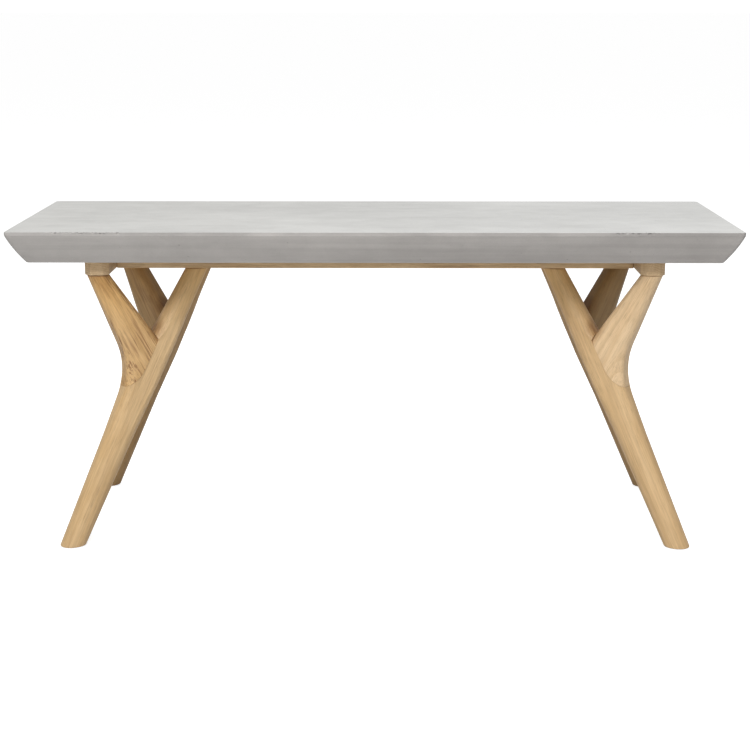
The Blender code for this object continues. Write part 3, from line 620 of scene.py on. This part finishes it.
SWELL_U = post_inner(SWELL_Z) - POST_SWELL_WIDTH
POST_OUTER_LEAN = (SWELL_U + HALF_FOOT) / SWELL_Z
POST_THROAT_LEAN = (POST_RUN - POST_TOP_WIDTH / 2 - SWELL_U) / SWELL_DROP


def post_throat(z):
    return POST_RUN - POST_TOP_WIDTH / 2 - POST_THROAT_LEAN * (LEG_TOP - z)


def branch_inner(z):
    return BRANCH_TOP_U + BRANCH_TOP_WIDTH / 2 + BRANCH_INNER_LEAN * (LEG_TOP - z)


def branch_outer(z):
    return BRANCH_TOP_U - BRANCH_TOP_WIDTH / 2 + BRANCH_OUTER_LEAN * (LEG_TOP - z)


THROAT_Z = LEG_TOP - (post_throat(LEG_TOP) - branch_inner(LEG_TOP)) / (POST_THROAT_LEAN + BRANCH_INNER_LEAN)
THROAT_U = branch_inner(THROAT_Z)
MERGE_Z = THROAT_Z - FORK_MERGE_DROP

# The elbow's arc touches the post's outer edge below and the branch's above.
CORNER_Z = (branch_outer(0) + HALF_FOOT) / (POST_OUTER_LEAN + BRANCH_OUTER_LEAN)
CORNER_U = POST_OUTER_LEAN * CORNER_Z - HALF_FOOT
LOWER_ANGLE = math.atan(POST_OUTER_LEAN)
UPPER_ANGLE = math.atan(BRANCH_OUTER_LEAN)
ELBOW_REACH = ELBOW_RADIUS * math.tan((LOWER_ANGLE + UPPER_ANGLE) / 2)
ELBOW_LOW_Z = CORNER_Z - ELBOW_REACH * math.cos(LOWER_ANGLE)
ELBOW_HIGH_Z = CORNER_Z + ELBOW_REACH * math.cos(UPPER_ANGLE)
ELBOW_U = CORNER_U - ELBOW_REACH * math.sin(LOWER_ANGLE) - ELBOW_RADIUS * math.cos(LOWER_ANGLE)
ELBOW_Z = ELBOW_LOW_Z + ELBOW_RADIUS * math.sin(LOWER_ANGLE)


def leg_outer(z):
    """The outer edge of the whole leg: post, elbow, branch."""
    if z <= ELBOW_LOW_Z:
        return POST_OUTER_LEAN * z - HALF_FOOT
    if z >= ELBOW_HIGH_Z:
        return branch_outer(z)
    return ELBOW_U + math.sqrt(ELBOW_RADIUS ** 2 - (z - ELBOW_Z) ** 2)


def post_outer(z):
    if z <= MERGE_Z:
        return leg_outer(z)
    if z >= THROAT_Z:
        return post_throat(z)
    return between(leg_outer(MERGE_Z), THROAT_U, (z - MERGE_Z) / FORK_MERGE_DROP)


# ------------------------------ legs: limbs lofted through level rings

RING_STEPS = 12
BENCH_DROP = 1.0                # new rings are shaped this far below the floor
ROUND_CORNER = 0.94             # corner radius of a ring, as a share of its half width
PLANED_CORNER = 0.66
PLANED_RISE = 0.050             # height over which the planed face of the fork fades out


def level_ring(outer, inner, half_thickness, corner, z):
    """Adds one level ring to the mesh being edited: a squared plate, rounded below, then set in place."""
    bpy.ops.mesh.primitive_plane_add(size=2, location=(0, 0, -BENCH_DROP))
    bpy.ops.mesh.bevel(offset=corner, offset_type="OFFSET", segments=RING_STEPS, affect="VERTICES")
    pick("verts", lambda vert: vert.co.z < -BENCH_DROP / 2)
    bpy.ops.transform.resize(value=((inner - outer) / 2, half_thickness, 1))
    bpy.ops.transform.translate(value=((inner + outer) / 2, 0, z + BENCH_DROP))
    bpy.ops.mesh.delete(type="ONLY_FACE")


def lofted(name, rings):
    """A closed limb bridged from ring to ring."""
    bpy.ops.object.select_all(action="DESELECT")
    bpy.ops.mesh.primitive_plane_add(size=2, location=(0, 0, 0))
    piece = begin(name)
    bpy.ops.mesh.delete(type="VERT")
    for ring in rings:
        level_ring(*ring)
    bpy.ops.mesh.select_mode(type="EDGE")
    bpy.ops.mesh.select_all(action="SELECT")
    bpy.ops.mesh.bridge_edge_loops(type="SINGLE")
    for z in (rings[0][4], rings[-1][4]):
        pick("verts", lambda vert: abs(vert.co.z - z) < WELD)
        bpy.ops.mesh.edge_face_add()
    bpy.ops.mesh.select_all(action="SELECT")
    bpy.ops.mesh.normals_make_consistent(inside=False)
    return finish_editing(piece)


def heights(*spans):
    """Heights along spans of (low, high, count), and the last high."""
    made = [low + (high - low) * i / count for low, high, count in spans for i in range(count)]
    return made + [spans[-1][1]]


def post_corner(z):
    """Round at the foot, planed flatter round the fork, round again above it."""
    squarer = between(ROUND_CORNER, PLANED_CORNER, (z - SWELL_Z) / 0.07 + 1)
    return between(squarer, ROUND_CORNER, (z - THROAT_Z) / PLANED_RISE + 0.5)


def post_ring(z, rim=0.0):
    rise = between(FOOT_HALF_THICKNESS, FORK_HALF_THICKNESS, z / SWELL_Z)
    half = between(rise, POST_TOP_HALF_THICKNESS, (z - THROAT_Z) / (LEG_TOP - THROAT_Z))
    return post_outer(z) + rim, post_inner(z) - rim, half - rim, post_corner(z), z


def branch_ring(z, rim=0.0):
    fall = (z - THROAT_Z) / (LEG_TOP - THROAT_Z)
    half = between(FORK_HALF_THICKNESS, BRANCH_TOP_HALF_THICKNESS, fall)
    corner = between(PLANED_CORNER, ROUND_CORNER, fall)
    return leg_outer(z) + rim, min(branch_inner(z), post_inner(z)) - rim, half - rim, corner, z


GLUE_ALONG = Vector((GLUE_FACE_LEAN, 0, 1)).normalized()
GLUE_OUT = Vector((-GLUE_ALONG.z, 0, GLUE_ALONG.x))
GLUE_NOTCH = Vector((THROAT_U + GLUE_NOTCH_SHIFT, 0, THROAT_Z - GLUE_NOTCH_DEPTH))


def glue_line(gap):
    """Points from above the throat down the glued face and out past the heel, moved by the gap."""
    face_end = GLUE_NOTCH - GLUE_ALONG * GLUE_FACE_LENGTH
    centre = face_end + GLUE_OUT * GLUE_HEEL_RADIUS
    line = [Vector((THROAT_U - gap, 0, LEG_TOP + CUTTER_MARGIN)), Vector((THROAT_U - gap, 0, THROAT_Z)),
            GLUE_NOTCH + GLUE_OUT * gap, face_end + GLUE_OUT * gap]
    for step in range(1, GLUE_HEEL_STEPS + 1):
        turn = Matrix.Rotation(GLUE_HEEL_TURN * step / GLUE_HEEL_STEPS, 3, "Y")
        line.append(centre - turn @ (GLUE_OUT * (GLUE_HEEL_RADIUS - gap)))
    outwards = Matrix.Rotation(GLUE_HEEL_TURN, 3, "Y") @ -GLUE_ALONG
    return line + [line[-1] + outwards * CUTTER_MARGIN]


def branch_side(gap):
    """A block of all that lies on the branch's side of the glue line."""
    line = glue_line(gap)
    far_u = BRANCH_TOP_U - BRANCH_TOP_WIDTH - CUTTER_MARGIN
    outline = line + [Vector((far_u, 0, line[-1].z)), Vector((far_u, 0, line[0].z))]
    bpy.ops.object.select_all(action="DESELECT")
    bpy.ops.mesh.primitive_plane_add(size=MILLIMETRE, location=(0, 0, 0))
    block = begin("branch_side")
    bpy.ops.mesh.merge(type="CENTER")
    here = Vector((0, CUTTER_MARGIN, 0))
    bpy.ops.transform.translate(value=outline[0] - here)
    for start, end in zip(outline, outline[1:]):
        bpy.ops.mesh.extrude_region_move(TRANSFORM_OT_translate={"value": end - start})
    bpy.ops.mesh.select_all(action="SELECT")
    bpy.ops.mesh.edge_face_add()
    bpy.ops.mesh.extrude_region_move(TRANSFORM_OT_translate={"value": here * 2})
    bpy.ops.mesh.select_all(action="SELECT")
    bpy.ops.mesh.normals_make_consistent(inside=False)
    return finish_editing(block)


def leg_matrix(side_x, side_y):
    """From the leg's own space to its corner of the bench."""
    turn = math.atan2(-side_y * math.sin(LEG_TURN), -side_x * math.cos(LEG_TURN))
    return Matrix.Translation((side_x * FOOT_X, side_y * FOOT_Y, 0)) @ Matrix.Rotation(turn, 4, "Z")


PATTERN_CORNER = (1, 1)
TO_LEG = leg_matrix(*PATTERN_CORNER).inverted()
PATTERN = corner_name(*PATTERN_CORNER)
PLANED_DEPTH = 0.0010           # shaved off each broad face of the post round the fork
THROAT_BAND = 0.006             # the rings stand closer this far above and below the throat
LIMB_SMOOTH = 15.0


def planed_off(side):
    """A block whose flat face takes a shaving off one broad face of the post, round the fork."""
    bpy.ops.object.select_all(action="DESELECT")
    bpy.ops.mesh.primitive_cube_add(size=1, location=(0, 0, 0))
    block = begin("planed_off")
    bpy.ops.transform.resize(value=(LEG_TOP * 2, CUTTER_MARGIN, LEG_TOP * 2))
    reach = side * (FORK_HALF_THICKNESS - PLANED_DEPTH + CUTTER_MARGIN / 2)
    bpy.ops.transform.translate(value=(POST_RUN / 2, reach, LEG_TOP / 2))
    return finish_editing(block)


def model_post():
    levels = heights((LEG_SOLE + FOOT_RIM, ELBOW_LOW_Z, 8), (ELBOW_LOW_Z, MERGE_Z, 8),
                     (MERGE_Z, THROAT_Z - THROAT_BAND, 4),
                     (THROAT_Z - THROAT_BAND, THROAT_Z + THROAT_BAND, 6),
                     (THROAT_Z + THROAT_BAND, LEG_TOP - HEAD_RIM, 5))
    rings = [post_ring(LEG_SOLE, FOOT_RIM), post_ring(LEG_SOLE + FOOT_RIM * 0.3, FOOT_RIM * 0.3)]
    rings += [post_ring(z) for z in levels] + [post_ring(LEG_TOP, HEAD_RIM)]
    post = lofted("leg_post", rings)
    for side in (-1, 1):
        carve(post, planed_off(side))
    carve(post, branch_side(0.0))
    for node in ("leg_glide", "post_screw", "fork_dowel_upper", "fork_dowel_lower"):
        carve(post, hole_for(f"{node}_{PATTERN}", TO_LEG, JOINT_GAP))
    return post


def model_branch():
    levels = heights((SWELL_Z - BRANCH_BLANK_DROP, ELBOW_HIGH_Z, 16),
                     (ELBOW_HIGH_Z, LEG_TOP - HEAD_RIM, 6))
    branch = lofted("leg_branch", [branch_ring(z) for z in levels] + [branch_ring(LEG_TOP, HEAD_RIM)])
    carve(branch, branch_side(JOINT_GAP), "INTERSECT")
    for node in ("branch_dowel", "fork_dowel_upper", "fork_dowel_lower"):
        carve(branch, hole_for(f"{node}_{PATTERN}", TO_LEG, JOINT_GAP))
    return branch


POST_LEAN = Vector((0.48, 0, 1))
BRANCH_LEAN = Vector((-0.55, 0, 1))
POST_GRAIN_ORIGIN = Vector((0.07, 0, 0.2))
BRANCH_GRAIN_ORIGIN = Vector((0.09, 0, 0.3))
THROAT_SPOT = Vector((THROAT_U, 0, THROAT_Z + 0.004))    # the wood is faintly darker and mottled round this point at the fork's throat
THROAT_REACH = 0.027
POST_FIGURE = {"ring_width": 0.0075, "ring_amount": 0.35, "wander": 0.012, "heart": (0.055, 0.09, 0)}
BRANCH_FIGURE = {"ring_width": 0.0060, "ring_amount": 0.35, "wander": 0.012, "heart": (0.07, 0.06, 0)}
POST_SEED = 1.3
BRANCH_SEED = 7.1

WARM_OAK = ((0.665, 0.435, 0.205), (0.455, 0.262, 0.098))
CREAM_OAK = ((0.740, 0.540, 0.325), (0.590, 0.400, 0.212))
TAN_OAK = ((0.675, 0.470, 0.250), (0.535, 0.345, 0.158))
# The dusky and dark oaks of the rear legs are partly the wood's own tone and partly painted shade, for the
# rear legs standing back under the seat.
DUSKY_SHADED_OAK = ((0.510, 0.325, 0.150), (0.380, 0.220, 0.085))
DARK_SHADED_OAK = ((0.330, 0.210, 0.094), (0.235, 0.140, 0.054))
HONEY_OAK = ((0.660, 0.455, 0.240), (0.530, 0.340, 0.158))
# Post shades, branch shades, post streaks and branch streaks for each corner.
LEG_LOOKS = {
    "front_left": (TAN_OAK, WARM_OAK, 0.22, 0.95),
    "front_right": (HONEY_OAK, CREAM_OAK, 0.20, 0.15),
    # rear legs: darker oak, partly painted shade
    "rear_left": (DUSKY_SHADED_OAK, DUSKY_SHADED_OAK, 0.25, 0.45),
    "rear_right": (DUSKY_SHADED_OAK, DARK_SHADED_OAK, 0.25, 0.45),
}

post_pattern = model_post()
branch_pattern = model_branch()
for pattern in (post_pattern, branch_pattern):
    ease(pattern, EASED)
    smooth(pattern, LIMB_SMOOTH)

for number, corner in enumerate(CORNERS):
    where = corner_name(*corner)
    matrix = leg_matrix(*corner)
    turn = matrix.to_3x3()
    face = turn @ Vector((0, 1, 0))
    post_shades, branch_shades, post_streaks, branch_streaks = LEG_LOOKS[where]
    throat_spot = (matrix @ THROAT_SPOT, THROAT_REACH, 1.0)
    post_wood = wood(f"post_wood_{where}", matrix @ POST_GRAIN_ORIGIN, turn @ POST_LEAN, face,
                     post_shades, post_streaks, **POST_FIGURE, seed=POST_SEED + number,
                     dark_spots=(throat_spot,), limb=True)
    # The cream branch is evenly pale, without the painted shade and painted shadow line near the top of the
    # others.
    branch_wood = wood(f"branch_wood_{where}", matrix @ BRANCH_GRAIN_ORIGIN, turn @ BRANCH_LEAN, face,
                       branch_shades, branch_streaks, **BRANCH_FIGURE, seed=BRANCH_SEED + number,
                       dark_spots=(throat_spot,), limb=branch_shades is not CREAM_OAK)
    settle(copy_of(post_pattern, f"post_{where}", matrix), post_wood, "hardwood", f"leg_post_{where}")
    settle(copy_of(branch_pattern, f"branch_{where}", matrix), branch_wood, "hardwood", f"leg_branch_{where}")
for pattern in (post_pattern, branch_pattern):
    bpy.data.objects.remove(pattern, do_unlink=True)


# ------------------------------ crossbars and rails

BAR_OAK = ((0.640, 0.462, 0.270), (0.480, 0.315, 0.160))
RAIL_OAK = ((0.660, 0.475, 0.270), (0.500, 0.325, 0.155))

BAR_FIGURE = {"streak_amount": 0.22, "ring_width": 0.0032, "ring_amount": 0.55, "wander": 0.004,
              "heart": (0.06, 0.01, 0)}
RAIL_FIGURE = {"streak_amount": 0.45, "ring_width": 0.006, "ring_amount": 0.45, "wander": 0.008,
               "heart": (0.03, 0.05, 0)}
BAR_SEED = 11.0
RAIL_SEED = 14.0


def model_bar(kind, side, name, along, shades, figure, seed):
    """One crossbar or rail: the CAD's shape with its edges eased, in oak."""
    finish = wood(f"{kind}_wood_{side}", middle_of(f"{kind}_{side}"), along, UP, shades, **figure, seed=seed)
    piece = merged_copy(f"{kind}_{side}", name)
    ease(piece, EASED, TURNED_ANGLE)
    smooth(piece)
    settle(piece, finish, "hardwood", f"{kind}_{side}")


for number, side in enumerate(("left", "right")):
    model_bar("crossbar", side, f"bar_{side}", Vector((0, 1, 0)), BAR_OAK, BAR_FIGURE, BAR_SEED + number)
for number, side in enumerate(("front", "rear")):
    model_bar("rail", side, f"long_{side}", Vector((1, 0, 0)), RAIL_OAK, RAIL_FIGURE, RAIL_SEED + number)


# ------------------------------ dowels, screws, bolts and glides

def plain_metal(name, colour, roughness, brushed):
    """Plated or drawn metal with fine turning marks and slight stains."""
    made, tree, shader = new_material(name)
    where = node(tree, "ShaderNodeTexCoord").outputs["Object"]
    marks = clouds(tree, where, (300, 300, brushed), 2.0, detail=3.0).outputs["Fac"]
    dark_spots = clouds(tree, where, (160, 160, 160), 5.0, detail=4.0).outputs["Fac"]
    tone = calc(tree, "MULTIPLY", spread(tree, marks, 0.3, 0.7, 0.90, 1.04),
                spread(tree, dark_spots, 0.4, 0.7, 1.0, 0.82))
    colour = blend_colours(tree, 1.0, (*colour, 1), grey(tree, tone), "MULTIPLY")
    feed(tree, shader.inputs["Base Color"], colour)
    shader.inputs["Metallic"].default_value = 1.0
    feed(tree, shader.inputs["Roughness"], spread(tree, dark_spots, 0.35, 0.7, roughness, roughness + 0.18))
    raise_surface(tree, shader, marks, METAL_RELIEF)
    return made


def moulded_plastic(name, colour):
    """Fine-grained plastic with paler, rougher scuffs."""
    made, tree, shader = new_material(name)
    where = node(tree, "ShaderNodeTexCoord").outputs["Object"]
    grain = clouds(tree, where, (1400, 1400, 1400), 3.0, detail=2.0).outputs["Fac"]
    scuffs = clouds(tree, where, (120, 700, 120), 8.0, detail=4.0).outputs["Fac"]
    scuffs = spread(tree, scuffs, 0.56, 0.70)
    worn = tuple(0.5 * part + 0.08 for part in colour)
    feed(tree, shader.inputs["Base Color"], blend_colours(tree, scuffs, (*colour, 1), (*worn, 1)))
    feed(tree, shader.inputs["Roughness"], calc(tree, "MULTIPLY_ADD", scuffs, 0.2, 0.45))
    raise_surface(tree, shader, grain, PLASTIC_RELIEF)
    return made


zinc = plain_metal("zinc_plate", (0.62, 0.63, 0.64), 0.30, 2600)
brass = plain_metal("drawn_brass", (0.72, 0.53, 0.25), 0.28, 2400)
black_plastic = moulded_plastic("black_plastic", (0.030, 0.030, 0.032))
# The CAD node, the piece's name, its slot, its finish and how far its edges are eased, at each corner.
FITTINGS = (
    ("leg_glide", "foot_glide", "glide_plastic", black_plastic, 0.0003),
    ("slab_bolt", "bolt", "zinc_steel", zinc, 0.00025),
    ("slab_washer", "washer", "zinc_steel", zinc, 0.0002),
    ("slab_insert", "insert", "insert_brass", brass, 0.0003),
    ("post_screw", "screw", "zinc_steel", zinc, 0.0002),
)
DOWELS = ("branch_dowel", "fork_dowel_upper", "fork_dowel_lower", "rail_dowel_a", "rail_dowel_b")
DOWEL_SHADES = ((0.620, 0.470, 0.290), (0.500, 0.350, 0.190))
DOWEL_FIGURE = {"streak_amount": 0.2, "ring_width": 0.003, "ring_amount": 0.4, "wander": 0.004,
                "heart": (0.02, 0.03, 0)}
DOWEL_SEED = 20.0
LEG_DOWEL_LEAN = Vector((1, 0, 0.65))


def fitting(node_name, name, slot_name, finish, width):
    """A small turned or moulded piece: the CAD's shape with its edges eased."""
    piece = merged_copy(node_name, name)
    ease(piece, width, TURNED_ANGLE)
    smooth(piece)
    settle(piece, finish, slot_name, node_name)


for number, corner in enumerate(CORNERS):
    where = corner_name(*corner)
    for kind, name, slot_name, finish, width in FITTINGS:
        fitting(f"{kind}_{where}", f"{name}_{where}", slot_name, finish, width)
    in_leg = leg_matrix(*corner).to_3x3() @ LEG_DOWEL_LEAN
    for count, kind in enumerate(DOWELS):
        pin = NODES[f"{kind}_{where}"]
        along = Vector((1, 0, 0)) if kind.startswith("rail") else in_leg
        dress(pin, wood(f"{kind}_wood_{where}", middle_of(f"{kind}_{where}"), along, UP, DOWEL_SHADES,
                        **DOWEL_FIGURE, seed=DOWEL_SEED + len(DOWELS) * number + count))


# ------------------------------ concrete slab

SLAB_UNDERCUT = 0.0240
SLAB_FASCIA = 0.0045
SLAB_END_ARRIS = 0.0026         # the ends are rounded more than the long edges
SLAB_LONG_SHARE = 0.40
SLAB_BULGE = 0.0018
SLAB_CORNER = 0.0050
SLAB_EDGE_STEPS = 8
SLAB_ROUND_STEPS = 6
SLAB_FOOT_ROUND = 0.0006
SLAB_CUTS = ((0, 40), (1, 16))  # the axis and the count of the strips that the slab's faces are cut into
SLAB_SMOOTH = 18.0
INSERT_PLAY = 0.0003
INSERT_SIDES = 48

slab_size = SLAB_HIGH - SLAB_LOW


def slab_inset(share):
    """How far in the edge stands, from the fascia (0) to the bottom (1)."""
    return SLAB_UNDERCUT * share - SLAB_BULGE * 4 * share * (1 - share)


def model_slab():
    """The slab: fascia, undercut in steps, rounded corners and arrises, and faces cut into a grid."""
    bpy.ops.object.select_all(action="DESELECT")
    bpy.ops.mesh.primitive_cube_add(size=1, location=(0, 0, SLAB_HIGH.z - SLAB_FASCIA / 2))
    slab = begin("seat_slab")
    bpy.ops.transform.resize(value=(slab_size.x, slab_size.y, SLAB_FASCIA))
    pick("faces", lambda face: face.normal.z < -0.9)
    drop = (slab_size.z - SLAB_FASCIA) / SLAB_EDGE_STEPS
    for step in range(SLAB_EDGE_STEPS):
        before = slab_inset(step / SLAB_EDGE_STEPS)
        after = slab_inset((step + 1) / SLAB_EDGE_STEPS)
        bpy.ops.mesh.extrude_region_move(TRANSFORM_OT_translate={"value": (0, 0, -drop)})
        bpy.ops.transform.resize(value=((slab_size.x / 2 - after) / (slab_size.x / 2 - before),
                                        (slab_size.y / 2 - after) / (slab_size.y / 2 - before), 1))
    pick("edges", lambda edge: abs(edge.verts[0].co.z - edge.verts[1].co.z) > WELD)
    bpy.ops.mesh.bevel(offset=SLAB_CORNER, segments=SLAB_ROUND_STEPS, affect="EDGES")
    top = SLAB_HIGH.z - WELD
    end = slab_size.x / 2 - SLAB_CORNER - WELD
    pick("edges", lambda edge: all(vert.co.z > top and abs(vert.co.x) > end for vert in edge.verts)
         and edge.calc_length() < slab_size.x / 2)
    bpy.ops.transform.edge_bevelweight(value=1.0)
    pick("edges", lambda edge: all(vert.co.z > top for vert in edge.verts)
         and edge.calc_length() > slab_size.x / 2)
    bpy.ops.transform.edge_bevelweight(value=SLAB_LONG_SHARE)
    finish_editing(slab)
    apply_modifier(slab, "BEVEL", width=SLAB_END_ARRIS, segments=SLAB_ROUND_STEPS, limit_method="WEIGHT")
    bpy.ops.object.mode_set(mode="EDIT")
    bottom = SLAB_LOW.z + WELD
    pick("edges", lambda edge: max(vert.co.z for vert in edge.verts) < bottom)
    bpy.ops.mesh.bevel(offset=SLAB_FOOT_ROUND, segments=2, affect="EDGES")
    for axis, count in SLAB_CUTS:
        for step in range(1, count):
            place = Vector((0, 0, 0))
            place[axis] = slab_size[axis] * (step / count - 0.5)
            normal = Vector((0, 0, 0))
            normal[axis] = 1
            bpy.ops.mesh.select_all(action="SELECT")
            bpy.ops.mesh.bisect(plane_co=place, plane_no=normal, use_fill=False)
    bpy.ops.mesh.select_all(action="SELECT")
    bpy.ops.mesh.remove_doubles(threshold=WELD)
    bpy.ops.mesh.normals_make_consistent(inside=False)
    return finish_editing(slab)


def pit_tool(name, places):
    """One cutting tool of many small uneven lumps at (place, radius, stretch)."""
    bpy.ops.object.select_all(action="DESELECT")
    bpy.ops.mesh.primitive_plane_add(size=MILLIMETRE, location=(0, 0, 0))
    tool = begin(name)
    bpy.ops.mesh.delete(type="VERT")
    for number, (place, radius, stretch) in enumerate(places):
        bpy.ops.mesh.primitive_ico_sphere_add(subdivisions=2, radius=radius, location=place)
        bpy.ops.transform.resize(value=stretch, center_override=place)
        bpy.ops.transform.vertex_random(offset=radius * 0.25, seed=number)
    return finish_editing(tool)


def scattered(dice, count, spot, least_apart):
    """Places from spot(dice) that keep apart from each other."""
    kept = []
    tries = 0
    while len(kept) < count and tries < count * 40:
        tries += 1
        place, radius, stretch = spot(dice)
        reach = radius * max(stretch) + least_apart
        if all((place - other).length > reach + size * max(shape) for other, size, shape in kept):
            kept.append((place, radius, stretch))
    return kept


def arris_chip(low_x, high_x, side_y):
    """Small chips along the upper edge of the front (-1) or rear (1) between two places."""
    def spot(dice):
        radius = dice.uniform(0.0008, 0.0017)
        place = Vector((dice.uniform(low_x, high_x), side_y * (slab_size.y / 2 + dice.uniform(-0.0009, 0.0)),
                        SLAB_HIGH.z + dice.uniform(-0.0018, -0.0002)))
        return place, radius, (dice.uniform(1.0, 2.4), 1.0, dice.uniform(0.7, 1.0))
    return spot


def top_pinhole(dice):
    radius = dice.uniform(0.0005, 0.0010)
    place = Vector((dice.uniform(-0.48, 0.48), dice.uniform(-0.175, 0.175), SLAB_HIGH.z + radius * 0.3))
    return place, radius, (1.0, 1.0, 0.9)


def edge_pinhole(dice):
    radius = dice.uniform(0.0005, 0.0010)
    share = dice.uniform(0.1, 0.9)
    side_y = dice.choice((-1, 1))
    y = side_y * (slab_size.y / 2 - slab_inset(share) + radius * 0.4)
    z = SLAB_HIGH.z - SLAB_FASCIA - (slab_size.z - SLAB_FASCIA) * share
    return Vector((dice.uniform(-0.46, 0.46), y, z)), radius, (dice.uniform(1.0, 1.6), 1.0, 1.0)


# How many pits of each kind, and how far apart they keep; drawn in this order.
PITS = (
    (26, arris_chip(-0.435, -0.345, -1), 0.0010),
    (14, arris_chip(0.325, 0.385, -1), 0.0010),
    (16, arris_chip(-0.30, 0.46, 1), 0.0010),
    (46, top_pinhole, 0.010),
    (34, edge_pinhole, 0.008),
)
PIT_SEED = 41

slab = model_slab()
dice = random.Random(PIT_SEED)
pits = []
for count, spot, least_apart in PITS:
    pits += scattered(dice, count, spot, least_apart)
carve(slab, pit_tool("pits", pits))
for corner in CORNERS:
    low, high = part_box(f"slab_insert_{corner_name(*corner)}")
    bpy.ops.object.select_all(action="DESELECT")
    bpy.ops.mesh.primitive_cylinder_add(
        vertices=INSERT_SIDES, radius=(high.x - low.x) / 2 + INSERT_PLAY, depth=2 * (high.z - low.z),
        location=((low.x + high.x) / 2, (low.y + high.y) / 2, low.z))
    carve(slab, finish_editing(begin("insert_hole")))
smooth(slab, SLAB_SMOOTH)
settle(slab, slab_concrete, "concrete", "slab")


# ------------------------------ floor and surroundings

FLOOR_SIZE = 600.0
FLOOR_GREY = 0.62
SEEN_GLOW = 0.80                # what only the camera sees, so that the backdrop is white
SKY_LIGHT = 0.30                # what also lights the bench

bpy.ops.mesh.primitive_plane_add(size=FLOOR_SIZE, location=(0, 0, 0))
floor = bpy.context.object
floor.name = "studio_floor"
floor_paint, floor_tree, floor_shader = new_material("studio_floor_paint")
floor_shader.inputs["Base Color"].default_value = (FLOOR_GREY, FLOOR_GREY, FLOOR_GREY, 1)
floor_shader.inputs["Roughness"].default_value = 0.9
floor_shader.inputs["Specular IOR Level"].default_value = 0.1
seen = node(floor_tree, "ShaderNodeLightPath").outputs["Is Camera Ray"]
glow = calc(floor_tree, "MULTIPLY", seen, SEEN_GLOW)
floor_shader.inputs["Emission Color"].default_value = (1, 1, 1, 1)
feed(floor_tree, floor_shader.inputs["Emission Strength"], glow)
dress(floor, floor_paint)

world = bpy.data.worlds.new("studio")
bpy.context.scene.world = world
world.use_nodes = True
sky_tree = world.node_tree
backdrop = sky_tree.nodes["Background"]
backdrop.inputs["Color"].default_value = (1, 1, 1, 1)
seen = node(sky_tree, "ShaderNodeLightPath").outputs["Is Camera Ray"]
feed(sky_tree, backdrop.inputs["Strength"], calc(sky_tree, "MULTIPLY_ADD", seen, SEEN_GLOW, SKY_LIGHT))
